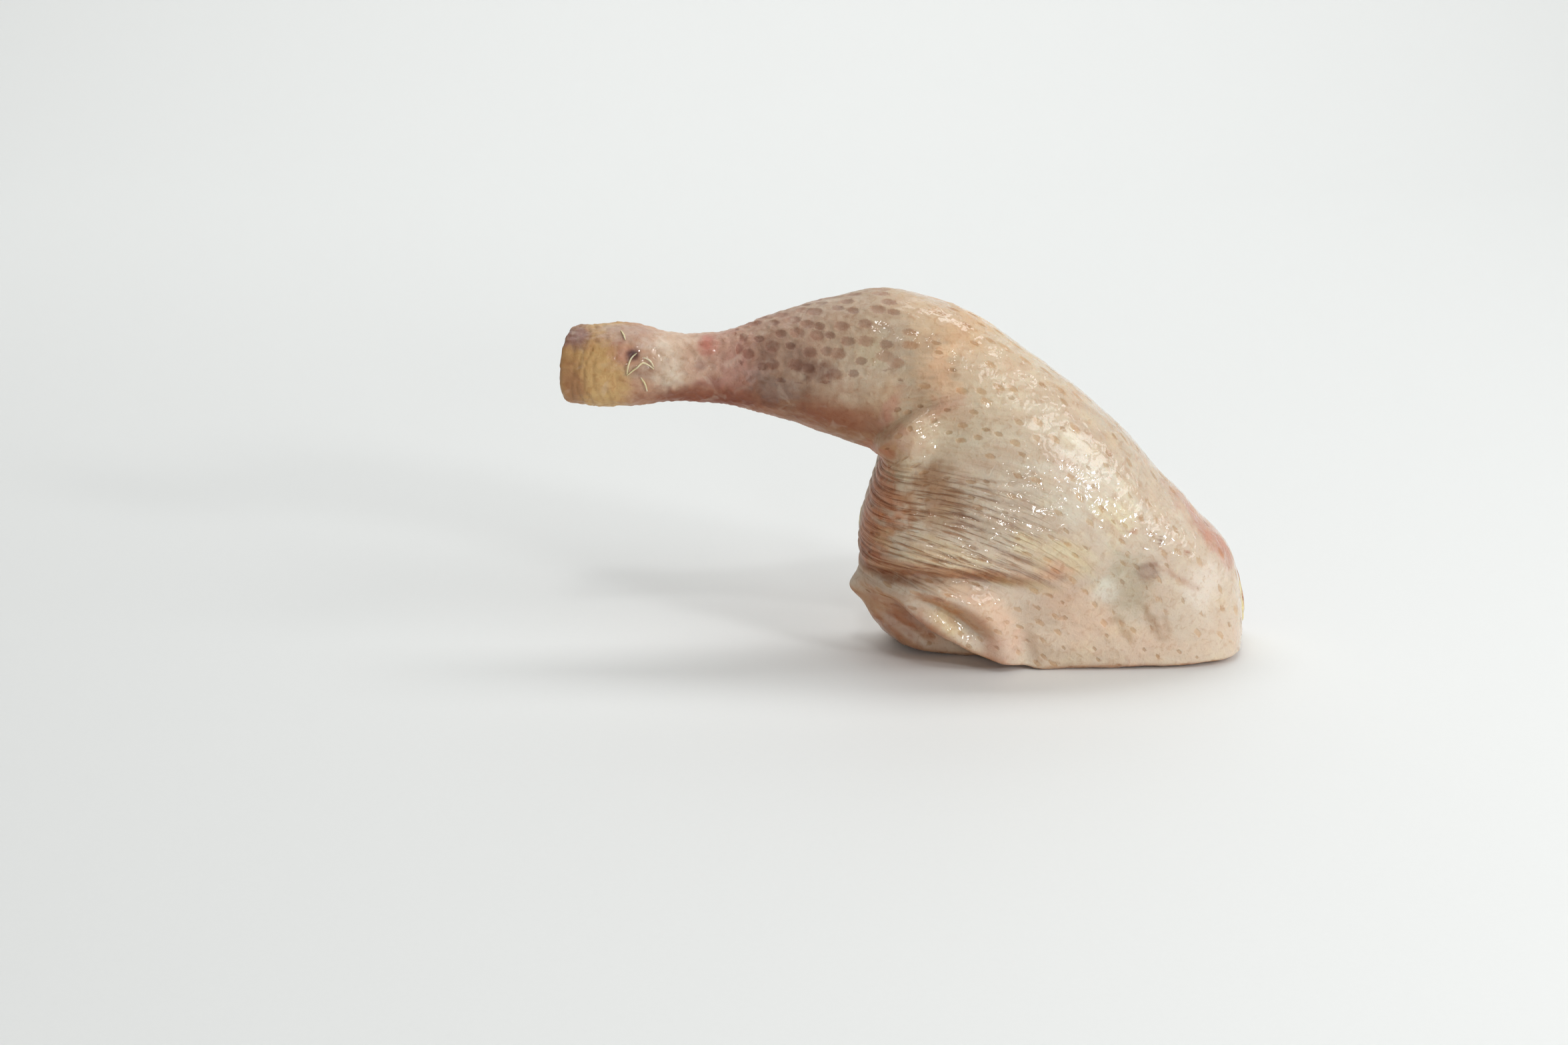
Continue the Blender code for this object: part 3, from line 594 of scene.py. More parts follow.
def skin_relief(points, along, angle, round_mm):
    """Height in millimetres of all that stands on or sinks into the skin: the sum of its
    grooves, scales, follicles, lumps and spots. Also returns the masks its colours need."""
    x, z = points[..., 0], points[..., 2]
    out = np.sin(angle)
    front = smooth_step(out, -0.1, 0.3)
    thigh = smooth_step(along + 0.1 * (z - 90), 100, 112)
    hock = 1 - smooth_step(along + 1.5 * noise(points / 3.0, 3), 15, 20)

    lines = pull_lines(x, z)
    left = (1 - smooth_step(x + 0.6 * (z - 40), 20, 60)) * smooth_step(out, -0.6, 0.1) * thigh
    left *= smooth_step(z, 24, 32) * (1 - smooth_step(z, 56, 68))
    wrinkles = creases(x, lines, 22.0, WRINKLE_SPACING, 21, 0.6) * left
    pulled = thigh * front * (0.08 + 0.92 * left) * smooth_step(z - 0.2 * x, 16, 26)
    streaks = noise(np.stack([x / 7.0, lines / 0.9], -1), 37)
    streaks += 0.6 * noise(np.stack([x / 15.0, lines / 2.3], -1), 38)
    streaks *= 0.25 + 0.75 * thigh * smooth_step(z - 0.2 * x, 14, 28)
    knee = creases(x, z - 0.35 * x + 0.4 * lumps(points, 7.0, 33), 10.0, KNEE_SPACING, 34)
    knee = knee * front * (1 - smooth_step(ellipse_reach(x, z, (9, 81, 13, 9), -20), 0.5, 1.2))

    folds = creases(round_mm, along + 0.4 * lumps(points, 6.0, 41), 12.0, FOLD_SPACING, 42) * hock
    scale, *_ = nearest_of_lattice(along, round_mm, SCALE_PITCH, SCALE_HALF, 0.3, 43)
    net = smooth_step(scale, -0.1, 0.5) * hock * smooth_step(z, 94, 98)

    upper = smooth_step(z - 84 - 0.12 * np.abs(x + 25), 0, 7)
    drum = smooth_step(along, 50, 58) * (1 - thigh) * upper
    half = (2.2 - 0.7 * thigh, 1.6 - 0.75 * thigh)
    way = np.gradient(points, axis=0)
    step = 0.5
    rise_x = pull_lines(x + step, z) - pull_lines(x - step, z)
    rise_z = pull_lines(x, z + step) - pull_lines(x, z - step)
    lie = -np.arctan2(rise_x, rise_z)
    turn = (np.arctan2(way[..., 2], way[..., 0]) - lie) * front
    cone, chance, tone = nearest_of_lattice(along, round_mm, FOLLICLE_PITCH, half, 0.6, 51, turn)
    present = drum * 0.95 + thigh * (0.66 - 0.5 * left)
    present *= 1 - smooth_step(np.abs(round_mm), 62, 74)
    shown = smooth_step(present - chance, 0.0, 0.08)
    follicle = (cone + 1) * shown - 1

    reach = patch_reach(along, angle) + 0.015 * lumps(points, 4.0, 61)
    rim = np.exp(-((reach - 1.07) / 0.05) ** 2)
    under = 1 - smooth_step(reach, 0.93, 1.01)

    lumpy = 0.22 * lumps(points, 11.0, 71) + 0.09 * lumps(points, 4.0, 73)
    granular = 0.18 * noise(points / 1.4, 75) * (0.8 + 0.7 * (1 - smooth_step(along, 45, 85)))
    height = lumpy + granular * (1 - thigh)
    height -= WRINKLE_DEPTH * wrinkles + KNEE_DEPTH * knee
    height += 0.05 * streaks
    height -= FOLD_DEPTH * folds * (1 - 0.6 * net)
    height += 0.22 * net
    height += 0.10 * smooth_step(follicle, -0.8, -0.05) - 0.24 * smooth_step(follicle, -0.05, 0.7)
    height += 0.3 * rim - MEAT_SUNK * under
    for *spot, spot_turn, rise in FRONT_SPOTS.values():
        height += rise * np.exp(-ellipse_reach(x, z, spot, spot_turn) ** 2) * front
    height += 2.0 * np.exp(-ellipse_reach(x, z, RIGHT_SHOULDER, -42) ** 2)
    ring = np.hypot(x - RING_PLACE[0], z - RING_PLACE[1])
    height += 0.35 * np.exp(-((ring - RING_RADIUS) / 0.9) ** 2) * front
    masks = dict(wrinkles=wrinkles, knee=knee, hock=hock, folds=folds, follicle=follicle, tone=tone,
                 thigh=thigh, front=front, reach=reach, streaks=streaks, pull=lines, pulled=pulled)
    return height, masks


def skin_colours(points, normal, along, masks):
    """Colours of the skin and of its follicles, and how wet it is, at every point, with painted shade on the
    skin's undersides and in its grooves.
    """
    x, z = points[..., 0], points[..., 2]
    places, tints = zip(*LEG_TINTS)
    tints = np.array([linear(tint) for tint in tints])
    tint = np.stack([np.interp(along, places, tints[:, channel]) for channel in range(3)], -1)
    wander = 0.30 * lumps(points, 5.0, 81) + 0.20 * lumps(points, 1.7, 87) + 0.35 * masks["streaks"]
    paint(tint, x, z, FRONT_PATCHES, masks["front"], wander)
    paint(tint, x, z, BACK_PATCHES, 1 - masks["front"], wander)
    fat = smooth_step(lumps(points, 7.0, 83), 0.2, 1.1) * masks["thigh"]
    blend(tint, "#E6D5AE", 0.22 * fat)
    grain = np.clip(lumps(points, 1.9, 89), -1, 1) * (1 - masks["thigh"]) * (1 - masks["hock"])
    tint *= 1 - (0.13 * grain)[..., None] * np.array([0.6, 1.0, 1.2])
    blush = smooth_step(lumps(points, 9.0, 85), 0.1, 1.2)
    blend(tint, "#D5A590", 0.20 * blush)
    tint *= 1 - (0.10 * np.clip(masks["streaks"], -1, 1))[..., None] * np.array([0.5, 1.0, 1.3])
    # Painted shade: the tint darkens along the bottoms of the wrinkles, the knee's creases and the hock's
    # folds.
    blend(tint, "#94603E", 0.5 * masks["wrinkles"])
    blend(tint, "#BC8F66", 0.30 * masks["knee"])
    blend(tint, "#8A6238", 0.45 * masks["folds"])
    rim = np.exp(-((masks["reach"] - 1.06) / 0.06) ** 2)
    blend(tint, "#EAD9A8", 0.75 * rim * (1 - masks["front"]))
    blend(tint, "#93403A", 1 - smooth_step(masks["reach"], 0.97, 1.02))
    # Painted shade: the tint turns darker and warmer where the skin faces down and to the left, away from the
    # light, from the shin on.
    facing_away_from_light = -normal[..., 2] - 0.45 * normal[..., 0] + 0.15 * wander
    low = smooth_step(facing_away_from_light, -0.05, 0.75) * smooth_step(along, 15, 40)
    tint *= 1 - low[..., None] * np.array([0.22, 0.46, 0.60])
    dark = 0.88 + 0.24 * masks["tone"][..., None]
    thigh = masks["thigh"][..., None]
    spot = tint * (np.array([0.76, 0.65, 0.63]) * (1 - thigh) + np.array([0.85, 0.74, 0.63]) * thigh) * dark
    dry = 1 - smooth_step(ellipse_reach(x, z, (-13, 44, 13, 34)), 0.6, 1.2)
    wet = 0.26 * masks["thigh"] + 0.12 - dry
    for *place, wetness in WET_PATCHES:
        share = 1 - smooth_step(ellipse_reach(x, z, place) + 0.5 * wander, 0.4, 1.3)
        wet = np.maximum(wet, wetness * share * masks["front"])
    return dict(tint=tint, spot=np.clip(spot, 0, 1), wet=wet, follicle=masks["follicle"],
                pull=masks["pull"], pulled=masks["pulled"])


def end_caps(grid, colours):
    """Turns the skin in at both ends. At the hock it rolls over a ring of red flesh round the
    joint: each of its rings has a size, a depth and a share of skin colour. Below, it closes
    flat on the surface that the leg stands on."""
    first, last = grid[0], grid[-1]
    inward = np.array([1.0, -HOCK_SLANT, 0.0])
    hock = np.array([(0.3, 2.6, 0), (0.6, 2.4, 0), (0.8, 2.0, 0), (0.87, 1.3, 0.25), (0.92, 0.5, 0.7),
                     (0.96, 0.05, 1)])
    foot = np.array([0.97, 0.88, 0.6, 0.3])
    size, depth, skin_share = hock[:, :, None, None].swapaxes(0, 1)
    hock_rings = first.mean(0) + (first - first.mean(0)) * size + inward * depth
    foot_rings = last.mean(0) + (last - last.mean(0)) * foot[:, None, None]
    closed = np.concatenate([hock_rings, grid, foot_rings])
    more = {}
    for name, values in colours.items():
        start = np.repeat(values[:1], len(hock), 0)
        if name == "tint":
            blend(start, "#8C4A46", 1 - skin_share[..., 0])
        more[name] = np.concatenate([start, values, np.repeat(values[-1:], len(foot), 0)])
    return closed, more


def node(tree, kind, inputs=None, **settings):
    """Adds one node with its settings and inputs. An input is a socket to link from, an sRGB
    hex colour or a plain value."""
    made = tree.nodes.new(kind)
    for key, value in settings.items():
        setattr(made, key, value)
    for key, value in (inputs or {}).items():
        if isinstance(value, bpy.types.NodeSocket):
            tree.links.new(value, made.inputs[key])
        else:
            made.inputs[key].default_value = (*linear(value), 1) if isinstance(value, str) else value
    return made


def new_material(name, grains, values):
    """A material with a Principled shader set to the values given, and sockets by name: its
    Object coordinates, and for each grain a noise over them, whose lumps have the given size
    in millimetres, with its detail and distortion."""
    material = bpy.data.materials.new(name)
    material.use_nodes = True
    tree = material.node_tree
    shader = tree.nodes["Principled BSDF"]
    for key, value in values.items():
        shader.inputs[key].default_value = value
    place = node(tree, "ShaderNodeTexCoord").outputs["Object"]
    sockets = {"place": place}
    for key, (size, detail, distortion) in grains.items():
        made = node(tree, "ShaderNodeTexNoise", {
            "Vector": place, "Scale": 1 / (size * MM), "Detail": detail, "Distortion": distortion})
        sockets[key] = made.outputs["Fac"]
    return material, tree, shader, sockets


def finish(tree, shader, sockets, shares, colour, tints, relief=()):
    """Finishes a shader from named sockets. A share rises smoothly from one value to another
    as its socket goes from low to high, and drives the shader's input where it is named for
    one. Each tint is blended over the colour by its share. Each relief raises the surface by
    its socket's height in millimetres, or sinks it where that is negative. Returns the
    relief's last Normal."""
    for name, (source, low, high, start, end) in shares.items():
        made = node(tree, "ShaderNodeMapRange", {
            "Value": sockets[source], "From Min": low, "From Max": high, "To Min": start, "To Max": end},
            interpolation_type="SMOOTHSTEP")
        sockets[name] = made.outputs["Result"]
        if name in shader.inputs:
            tree.links.new(sockets[name], shader.inputs[name])
    for kind, share, tint in tints:
        made = node(tree, "ShaderNodeMix", {0: sockets[share], 6: colour, 7: tint},
                    data_type="RGBA", blend_type=kind)
        colour = made.outputs[2]
    tree.links.new(colour, shader.inputs["Base Color"])
    below = {}
    for height, depth in relief:
        made = node(tree, "ShaderNodeBump", {
            "Height": sockets[height], "Distance": abs(depth) * MM, **below}, invert=depth < 0)
        below = {"Normal": made.outputs["Normal"]}
        tree.links.new(below["Normal"], shader.inputs["Normal"])
    return below.get("Normal")


def raw_skin():
    """Raw poultry skin: thin, slightly see-through over fat, so light scatters warmly in it.
    It is satin where dry, and where wet a film of juice breaks into small glints. Its
    threads and the film's ripples are drawn coarser than real ones, so that they show."""
    material, tree, shader, sockets = new_material("raw chicken skin", {
        "pores": (0.55, 3, 0), "mottle": (2.2, 3, 0.6), "blotch": (6.5, 2, 0.8),
        "film": (3.2, 1, 0.8), "drops": (5.0, 3, 0)}, {
        "Subsurface Weight": 0.22, "Subsurface Radius": (1.0, 0.45, 0.25), "Subsurface Scale": 0.0035,
        "IOR": 1.42, "Specular IOR Level": 0.3, "Coat Roughness": 0.05})
    for output, names in (("Color", ("tint", "spot")), ("Fac", ("wet", "follicle", "pull", "pulled"))):
        for name in names:
            made = node(tree, "ShaderNodeAttribute", attribute_name=name)
            sockets[name] = made.outputs[output]
    # Threads 0.85 mm apart and 9 mm long, along the lines of the skin's pull.
    level = node(tree, "ShaderNodeSeparateXYZ", {0: sockets["place"]}).outputs["X"]
    lined = node(tree, "ShaderNodeCombineXYZ", {"X": level, "Y": sockets["pull"]}).outputs[0]
    lined = node(tree, "ShaderNodeMapping", {"Vector": lined, "Scale": (1 / (9 * MM), 1 / 0.85, 1)})
    sockets["threads"] = node(tree, "ShaderNodeTexNoise", {
        "Vector": lined.outputs[0], "Scale": 1, "Roughness": 0.6, "Distortion": 0.35}).outputs["Fac"]
    sockets["ragged"] = node(tree, "ShaderNodeMath", {
        0: sockets["pores"], 1: 0.55, 2: sockets["follicle"]}, operation="MULTIPLY_ADD").outputs[0]
    finish(tree, shader, sockets, {
        "follicles": ("ragged", 0.11, 0.57, 0, 1), "lines": ("threads", 0.46, 0.70, 0, sockets["pulled"]),
        "mottled": ("mottle", 0.5, 0.72, 0, 0.34), "blotched": ("blotch", 0.55, 0.75, 0, 0.20),
        "porous": ("pores", 0.55, 0.8, 0, 0.45), "dry": ("mottle", 0.3, 0.7, 0.40, 0.52),
        "wetness": ("drops", 0.34, 0.52, 0, sockets["wet"]),
        "Coat Weight": ("wetness", 0.05, 0.4, 0.03, 1.0)}, sockets["tint"], [
        ("MIX", "follicles", sockets["spot"]), ("MULTIPLY", "mottled", "#D8B79B"),
        ("MIX", "blotched", "#EDE0C8"), ("MULTIPLY", "porous", "#D9BFA6"), ("MULTIPLY", "lines", "#D2B7A2")],
        [("mottle", 0.25), ("pores", 0.08), ("follicles", -0.10), ("lines", -0.30)])
    smoother = node(tree, "ShaderNodeMath", {0: sockets["wetness"], 1: -0.15, 2: 1}, operation="MULTIPLY_ADD")
    rough = node(tree, "ShaderNodeMath", {0: sockets["dry"], 1: smoother.outputs[0]}, operation="MULTIPLY")
    tree.links.new(rough.outputs[0], shader.inputs["Roughness"])
    film = node(tree, "ShaderNodeBump", {"Height": sockets["film"], "Distance": 0.5 * MM})
    tree.links.new(film.outputs["Normal"], shader.inputs["Coat Normal"])
    return material


def raw_meat():
    """Raw dark poultry meat: wet red muscle in bundles of fibres, under thin silver skin."""
    material, tree, shader, sockets = new_material("raw thigh meat", {"mottle": (4.0, 3, 0.6)}, {
        "Subsurface Weight": 0.2, "Subsurface Radius": (1.0, 0.35, 0.2), "Subsurface Scale": 0.003,
        "IOR": 1.4, "Coat Weight": 0.5, "Coat Roughness": 0.12})
    turned = node(tree, "ShaderNodeMapping", {
        "Vector": sockets["place"], "Rotation": (0, np.radians(-38), 0), "Scale": (0.16, 1, 1)})
    sockets["fibres"] = node(tree, "ShaderNodeTexNoise", {
        "Vector": turned.outputs[0], "Scale": 1 / (0.9 * MM), "Detail": 3, "Distortion": 0.5}).outputs["Fac"]
    normal = finish(tree, shader, sockets, {
        "strands": ("fibres", 0.42, 0.65, 0, 0.7), "mottled": ("mottle", 0.55, 0.75, 0, 0.35),
        "Roughness": ("mottle", 0.3, 0.7, 0.24, 0.42)},
        node(tree, "ShaderNodeAttribute", attribute_name="tint").outputs["Color"],
        [("MULTIPLY", "strands", "#B9867C"), ("MIX", "mottled", "#D9A79A")],
        [("fibres", 0.35), ("mottle", 0.5)])
    tree.links.new(normal, shader.inputs["Coat Normal"])
    return material


def cartilage(name, pale, dark, vein):
    """Joint cartilage: smooth, glassy and bluish white, clouded where blood lies under it."""
    material, tree, shader, sockets = new_material(name, {"cloud": (4.5, 3, 0.7), "speck": (1.1, 3, 0.4)}, {
        "Subsurface Weight": 0.3, "Subsurface Radius": (1.0, 0.7, 0.6), "Subsurface Scale": 0.003,
        "IOR": 1.45, "Coat Weight": 0.6, "Coat Roughness": 0.1})
    finish(tree, shader, sockets, {
        "clear": ("cloud", 0.35, 0.65, 0, 1), "veined": ("speck", 0.58, 0.72, 0, 0.5),
        "Roughness": ("speck", 0.3, 0.7, 0.18, 0.32)}, dark,
        [("MIX", "clear", pale), ("MIX", "veined", vein)], [("cloud", 0.4), ("speck", 0.12)])
    return material


def raw_fat():
    """Raw poultry fat: soft, waxy and pale yellow, with a wet sheen."""
    material, tree, shader, sockets = new_material("raw chicken fat", {
        "cloud": (3.0, 3, 0.5), "speck": (0.8, 2, 0)}, {
        "Subsurface Weight": 0.4, "Subsurface Radius": (1.0, 0.7, 0.35), "Subsurface Scale": 0.004,
        "IOR": 1.45, "Coat Weight": 0.3, "Coat Roughness": 0.2})
    finish(tree, shader, sockets, {
        "waxy": ("cloud", 0.35, 0.7, 0, 1), "stained": ("speck", 0.6, 0.75, 0, 0.4),
        "Roughness": ("cloud", 0.3, 0.7, 0.3, 0.42)}, "#E6D29B",
        [("MIX", "waxy", "#EFE2BE"), ("MIX", "stained", "#D79C82")], [("cloud", 0.5), ("speck", 0.12)])
    return material


def studio_paper():
    """Painted studio paper: an even matt surface with a very faint tooth, drawn coarser than
    the real one so that it shows."""
    material, tree, shader, sockets = new_material("matt studio paper", {"tooth": (1.5, 2, 0)}, {
        "Roughness": 0.6, "Specular IOR Level": 0.3})
    finish(tree, shader, sockets, {"toothed": ("tooth", 0.4, 0.7, 0, 0.02)}, "#EAECEB",
           [("MULTIPLY", "toothed", "#E0E0E0")])
    return material


def build_skin(material):
    """The skin over the whole leg, with its relief along the surface's own outward direction.
    Its lower edge is wavy. Returns its points without the turned-in ends."""
    along, angle = skin_grid()
    base = leg_surface(along, angle)
    steps = np.linalg.norm(np.diff(base, axis=1), axis=-1)
    round_mm = np.concatenate([np.zeros((ROWS, 1)), np.cumsum(steps, axis=1)], axis=1)
    middle = np.argmin(np.abs(angle[0] - np.pi / 2))
    round_mm -= round_mm[:, middle:middle + 1]
    height, masks = skin_relief(base, along, angle, round_mm)
    normal = outward(base)
    grid = base + normal * height[..., None]
    ripple = 0.45 + 0.45 * noise(grid[..., ::2] / 5.0, 91)
    grid[..., 2] += ripple * smooth_step(along, KNOTS[-1] - 7, KNOTS[-1])
    colours = skin_colours(grid, normal, along, masks)
    closed, colours = end_caps(grid, colours)
    closed[..., 2] = np.maximum(closed[..., 2], FLOOR_GAP)
    make_piece("skin", closed, material, "leg", colours)
    return grid


def patch_points(part, turn):
    """Places along and round the thigh for shares of the bare meat's reach and directions."""
    rim = patch_rim(turn)
    along = MEAT_ALONG + np.cos(turn) * MEAT_HALF_ALONG * part * rim
    angle = MEAT_ROUND + np.sin(turn) * MEAT_HALF_ROUND * part * rim
    return along, angle + MEAT_LEAN * (along - MEAT_ALONG) / MEAT_HALF_ALONG


def surface_normal(along, angle):
    """Unit vectors out of the leg at any place, from small steps along and round it."""
    down = leg_surface(along + 0.05, angle) - leg_surface(along - 0.05, angle)
    past = leg_surface(along, angle + 0.005) - leg_surface(along, angle - 0.005)
    return unit(np.cross(past, down))


def build_meat(material):
    """The bare muscle on the back of the thigh: a lens over the leg's surface, swelling in
    three bundles with furrows of silver skin between them."""
    part, turn = np.meshgrid(np.linspace(0.01, 1.0, MEAT_RINGS), around(MEAT_SIDES), indexing="ij")
    along, angle = patch_points(part, turn)
    points, normal = leg_surface(along, angle), surface_normal(along, angle)
    middle = (1 - part ** 2)[..., None]
    line = points[..., 0] * 0.79 + points[..., 2] * 0.61 + 2.0 * lumps(points, 14.0, 101)
    bundle = np.abs(np.sin(line * np.pi / BUNDLE_WIDTH)) ** 0.5
    strand = lumps(np.stack([line / 1.1, (points[..., 2] - points[..., 0]) / 14.0], -1), 1.0, 103)
    swell = MEAT_SWELL + BUNDLE_SWELL * bundle[..., None] + STRAND_SWELL * strand[..., None]
    lumpy = 0.25 * lumps(points, 5.0, 105)[..., None]
    outer = points + normal * (MEAT_PROUD + (swell + lumpy) * np.sqrt(middle))
    inner = points - normal * (MEAT_EDGE_DEPTH + (MEAT_DEPTH - MEAT_EDGE_DEPTH) * middle)
    silver = (1 - smooth_step(bundle, 0.10, 0.38)) * smooth_step(lumps(points, 5.0, 113), -0.9, 0.6)
    tint = np.broadcast_to(linear("#A04A42"), outer.shape).copy()
    patches = (("#C77F72", smooth_step(lumps(points, 10.0, 107), -0.2, 1.0), 0.7),
               ("#7C302F", smooth_step(lumps(points, 8.0, 109), 0.1, 1.1), 0.7),
               ("#D2A99A", silver, 0.7),
               ("#E2C9A0", smooth_step(part + 0.04 * lumps(points, 3.0, 111), 0.9, 1.0), 0.6))
    for colour, share, strength in patches:
        blend(tint, colour, share * strength)
    grid = np.concatenate([inner[::MEAT_UNDER_STEP], outer[::-1]])
    colours = dict(tint=np.concatenate([tint[::MEAT_UNDER_STEP], tint[::-1]]))
    make_piece("thigh_muscle", grid, material, "thigh_meat", colours)


def tube(path, radius, sides):
    """Rings round a path, with a radius for each of its points: two directions across the
    path carry a circle."""
    way = unit(np.gradient(path, axis=0))
    across = unit(np.cross(way, (0.0, 1.0, 0.0)))
    other = np.cross(way, across)
    turn = around(sides)[None, :, None]
    circle = across[:, None] * np.cos(turn) + other[:, None] * np.sin(turn)
    return path[:, None] + circle * radius[:, None, None]


def round_angles(sides):
    """Angles from the top and round the middle, for the rings of a rounded end of bone."""
    down = np.linspace(0.02, np.pi - 0.02, BONE_RINGS)
    return np.meshgrid(down, around(sides), indexing="ij")


def build_ball(material):
    """The ball of the thigh bone, with the small pit where its ligament was cut."""
    along, angle = np.array(BALL_ALONG), np.array(BALL_ROUND)
    out = surface_normal(along, angle)
    centre = leg_surface(along, angle) + out * (MEAT_PROUD + BALL_LIFT)
    side = unit(np.cross(out, (0.0, 0.0, 1.0)))
    over = np.cross(side, out)
    down, turn = round_angles(BALL_SIDES)
    ring = np.cos(turn)[..., None] * side + np.sin(turn)[..., None] * over
    ray = np.cos(down)[..., None] * out + np.sin(down)[..., None] * ring
    pit = 0.7 * np.exp(-((down - 0.35) ** 2 + (0.35 * np.sin(turn / 2)) ** 2) / 0.03)
    radius = BALL_RADIUS - pit + 0.07 * lumps(ray * 6, 2.5, 121)
    grid = centre + ray * radius[..., None]
    make_piece("ball_of_the_thigh_bone", grid, material, "hip_ball")


def build_joint(material):
    """The end of the shin bone: a flattened ball with two lumps, sunk along its middle."""
    down, turn = round_angles(JOINT_SIDES)
    ray = np.stack([np.sin(down) * np.cos(turn), np.sin(down) * np.sin(turn), np.cos(down)], -1)
    out = np.where(ray[..., 0] < 0, JOINT_HALF[0], JOINT_DEPTH)
    local = ray * np.stack([out, np.full_like(out, JOINT_HALF[1]), np.full_like(out, JOINT_HALF[2])], -1)
    groove = JOINT_GROOVE * JOINT_HALF[0] * np.exp(-(local[..., 1] / JOINT_GROOVE_WIDTH) ** 2)
    local[..., 0] += groove * smooth_step(-ray[..., 0], 0.2, 0.8) + 0.12 * lumps(local, 3.0, 131)
    cos, sin = np.cos(JOINT_TURN), np.sin(JOINT_TURN)
    turned = np.stack([local[..., 0] * cos - local[..., 1] * sin,
                       local[..., 0] * sin + local[..., 1] * cos, local[..., 2]], -1)
    make_piece("shin_bone_end", JOINT_CENTRE + turned, material, "hock_joint")


def build_fat(material):
    """A rope of fat along the rim of the bare meat, thick and thin by turns."""
    turn, circle = around(FAT_STEPS), around(FAT_SIDES)[None, :, None]
    wander = FAT_REACH + 0.02 * np.sin(5 * turn) + 0.012 * np.sin(11 * turn + 1)
    along, angle = patch_points(wander, turn)
    points, normal = leg_surface(along, angle), surface_normal(along, angle)
    way = np.roll(points, -1, axis=0) - np.roll(points, 1, axis=0)
    across = unit(np.cross(way, normal))
    size = 0.6 + 0.4 * noise(np.stack([7 * np.cos(turn), 7 * np.sin(turn)], -1), 141)
    size *= 1 - 0.75 * np.cos(turn / 2) ** 8
    ring = across[:, None] * np.cos(circle) * FAT_WIDTH + normal[:, None] * np.sin(circle)
    grid = points[:, None] + normal[:, None] * FAT_LIFT + ring * size[:, None, None]
    grid += 0.22 * lumps(grid, 2.4, 143)[..., None] * ring
    make_ring("fat_rim", grid, material)


# Torn threads of tendon at the hock: points x, z, and how far each stands off the skin.
THREADS = {
    "thread_left": [(-81.6, 94.8, 0.1), (-83.2, 93.4, 0.7), (-84.0, 91.6, 0.9), (-84.6, 88.6, 0.3)],
    "thread_middle": [(-84.6, 88.2, 0.2), (-81.8, 90.4, 0.7), (-79.4, 92.0, 0.9), (-78.0, 91.2, 0.6),
                      (-76.4, 89.8, 0.2)],
    "thread_right": [(-79.6, 93.6, 0.2), (-77.6, 92.6, 0.6), (-76.4, 90.6, 0.4)],
    "thread_top": [(-86.6, 101.2, 0.1), (-85.6, 100.2, 0.6), (-85.0, 98.8, 0.2)],
    "thread_low": [(-80.4, 87.4, 0.1), (-79.2, 85.4, 0.5), (-78.6, 82.8, 0.2)],
}


def build_threads(grid, material):
    """The threads, each a thin tube that follows the skin's front through its points."""
    front = grid[:, :, 1] < 6.0
    skin_points = grid[front]
    for name, points in THREADS.items():
        path = path_samples(points)
        nearest = ((path[:, None, :2] - skin_points[None, ::2, ::2]) ** 2).sum(-1).argmin(1)
        depth = skin_points[::2][nearest, 1] - path[:, 2]
        depth = np.convolve(np.pad(depth, 4, mode="edge"), np.ones(9) / 9, mode="valid")
        route = np.stack([path[:, 0], depth, path[:, 1]], -1)
        radius = 0.1 + 0.17 * np.sin(np.linspace(0.05, 0.95, len(route)) * np.pi) ** 0.5
        make_piece(name, tube(route, radius, THREAD_SIDES)[:, ::-1], material)


def build_stage():
    """A pale floor that sweeps up into a backdrop: a flat run, a quarter round and a wall."""
    front, depth, bend, wall, half_width = -3.0, 1.0, 0.6, 2.2, 3.5
    steps, columns = 20, 9
    turn = np.linspace(0, np.pi / 2, 24)
    run = np.linspace(front, depth, steps, endpoint=False)
    y = np.concatenate([run, depth + bend * np.sin(turn), [depth + bend]])
    z = np.concatenate([np.zeros(steps), bend * (1 - np.cos(turn)), [wall]])
    x = np.linspace(-half_width, half_width, columns)
    points = np.stack(np.broadcast_arrays(x[None, :], y[:, None], z[:, None]), -1).reshape(-1, 3)
    row, here = np.arange(len(y) - 1)[:, None] * columns, np.arange(columns - 1)
    corners = (row + here, row + here + 1, row + columns + here + 1, row + columns + here)
    faces = np.stack(np.broadcast_arrays(*corners), -1).reshape(-1, 4)
    add_object("studio_floor", points, faces.tolist(), studio_paper())


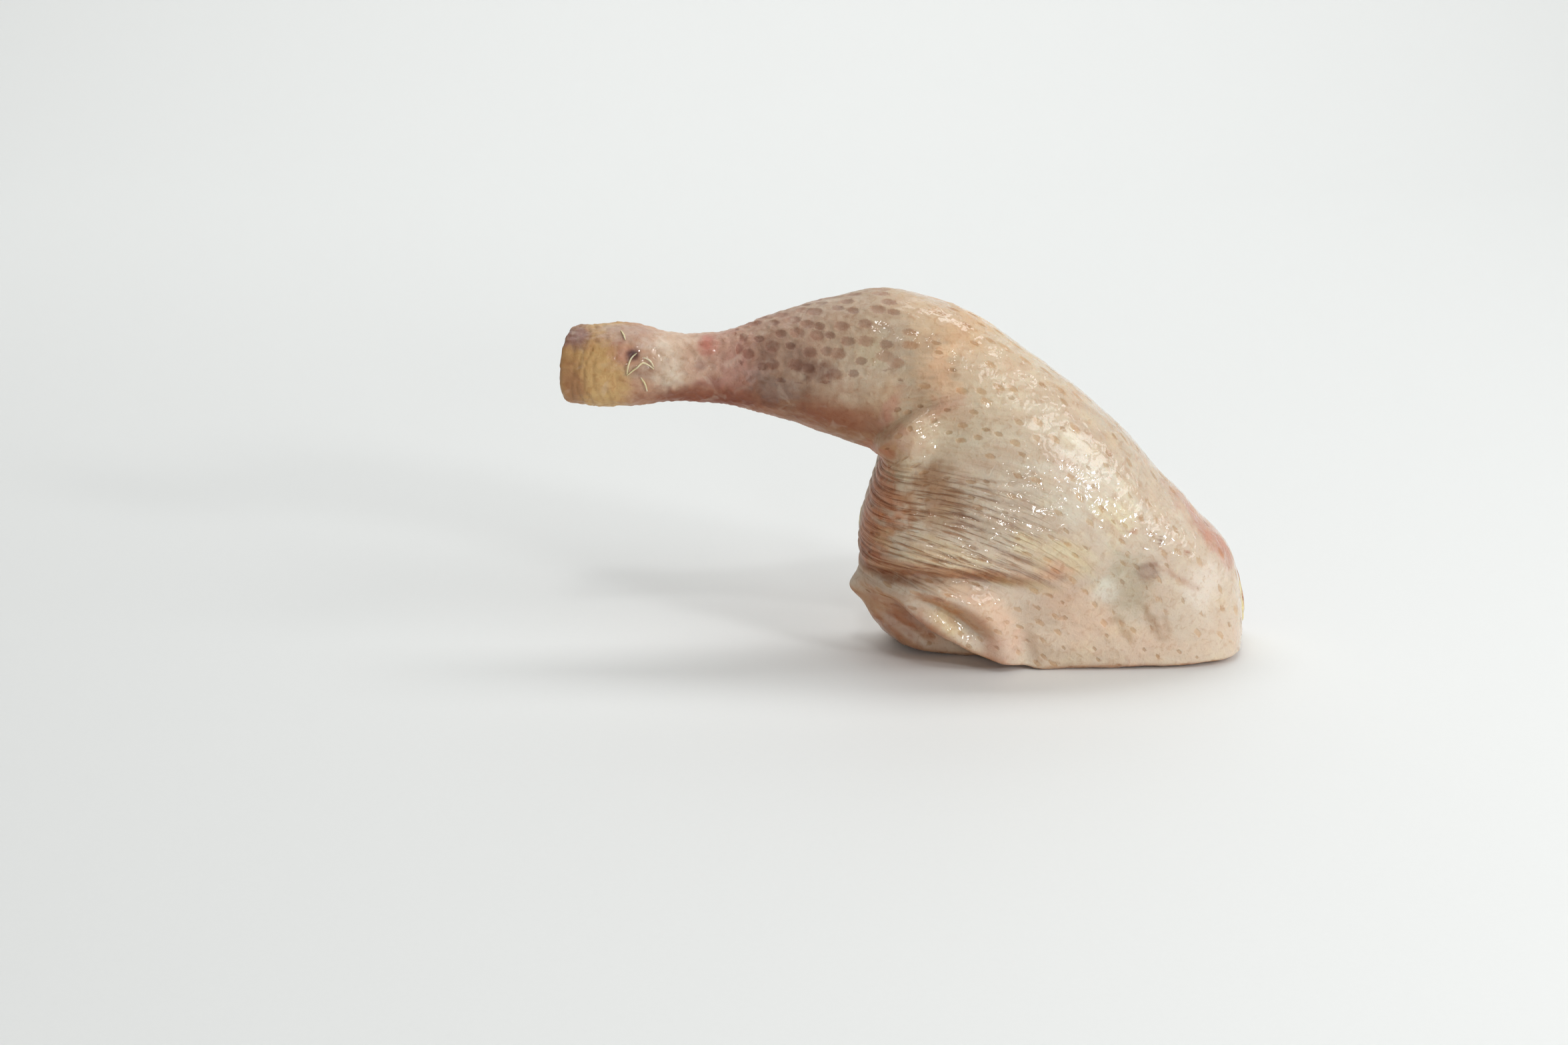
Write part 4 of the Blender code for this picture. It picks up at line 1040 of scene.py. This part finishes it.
# Lights: place, target, width and height in metres, and power in watts.
LIGHTS = {
    "key softbox": ((0.9, -0.45, 0.85), (0.0, 0.0, 0.05), 0.8, 0.6, 5.5),
    "small bright light": ((0.81, -0.74, 0.48), (0.05, -0.03, 0.055), 0.15, 0.10, 3.2),
    "front fill": ((0.25, -1.25, 0.36), (0.02, 0.0, 0.04), 0.16, 0.10, 1.7),
    "high light": ((-0.05, -0.58, 1.10), (0.0, 0.0, 0.06), 0.16, 0.10, 1.2),
    "backdrop wash": ((0.0, 0.75, 1.9), (0.0, 1.5, 0.35), 2.6, 0.8, 27.0),
}
CAMERA_PLACE, CAMERA_TILT = np.array([-36.5, -656.0, 240.1]), 17.0


def area_light(name, place, target, width, height, power):
    """A rectangular soft light that faces a target."""
    light = bpy.data.lights.new(name, "AREA")
    light.shape = "RECTANGLE"
    light.size, light.size_y, light.energy = width, height, power
    lamp = bpy.data.objects.new(name, light)
    back = unit(np.array(place) - np.array(target))
    right = unit(np.cross((0.0, 0.0, 1.0), back))
    matrix = np.eye(4)
    matrix[:3, 0], matrix[:3, 1], matrix[:3, 2], matrix[:3, 3] = right, np.cross(back, right), back, place
    lamp.matrix_world = matrix.T.tolist()
    bpy.context.scene.collection.objects.link(lamp)


def build_light_and_camera():
    """Soft studio light from above and the right, an even white surround, and the camera at
    the photograph's place: 50 mm on a 36 mm frame, looking 17 degrees down along +Y."""
    scene = bpy.context.scene
    for name, values in LIGHTS.items():
        area_light(name, *values)
    world = bpy.data.worlds.new("white surround")
    world.use_nodes = True
    surround = world.node_tree.nodes["Background"].inputs
    surround["Color"].default_value = (1.0, 0.985, 0.955, 1.0)
    surround["Strength"].default_value = 0.19
    scene.world = world
    scene.view_settings.view_transform = "Standard"
    camera = bpy.data.cameras.new("camera")
    camera.lens, camera.sensor_width = 50.0, 36.0
    camera.clip_start = 0.01
    stand = bpy.data.objects.new("camera", camera)
    stand.location = (CAMERA_PLACE - ORIGIN) * MM
    stand.rotation_euler = (np.radians(90 - CAMERA_TILT), 0.0, 0.0)
    scene.collection.objects.link(stand)
    scene.camera = stand


def main():
    """Dresses the leg, lights it and sets the camera."""
    skin_material, fat_material = raw_skin(), raw_fat()
    grid = build_skin(skin_material)
    build_meat(raw_meat())
    build_fat(fat_material)
    build_ball(cartilage("hip cartilage", "#EDE6DE", "#D6CFD0", "#C99A92"))
    build_joint(cartilage("hock cartilage", "#8A7A82", "#5E4D57", "#8E5A58"))
    build_threads(grid, fat_material)
    build_stage()
    build_light_and_camera()


main()
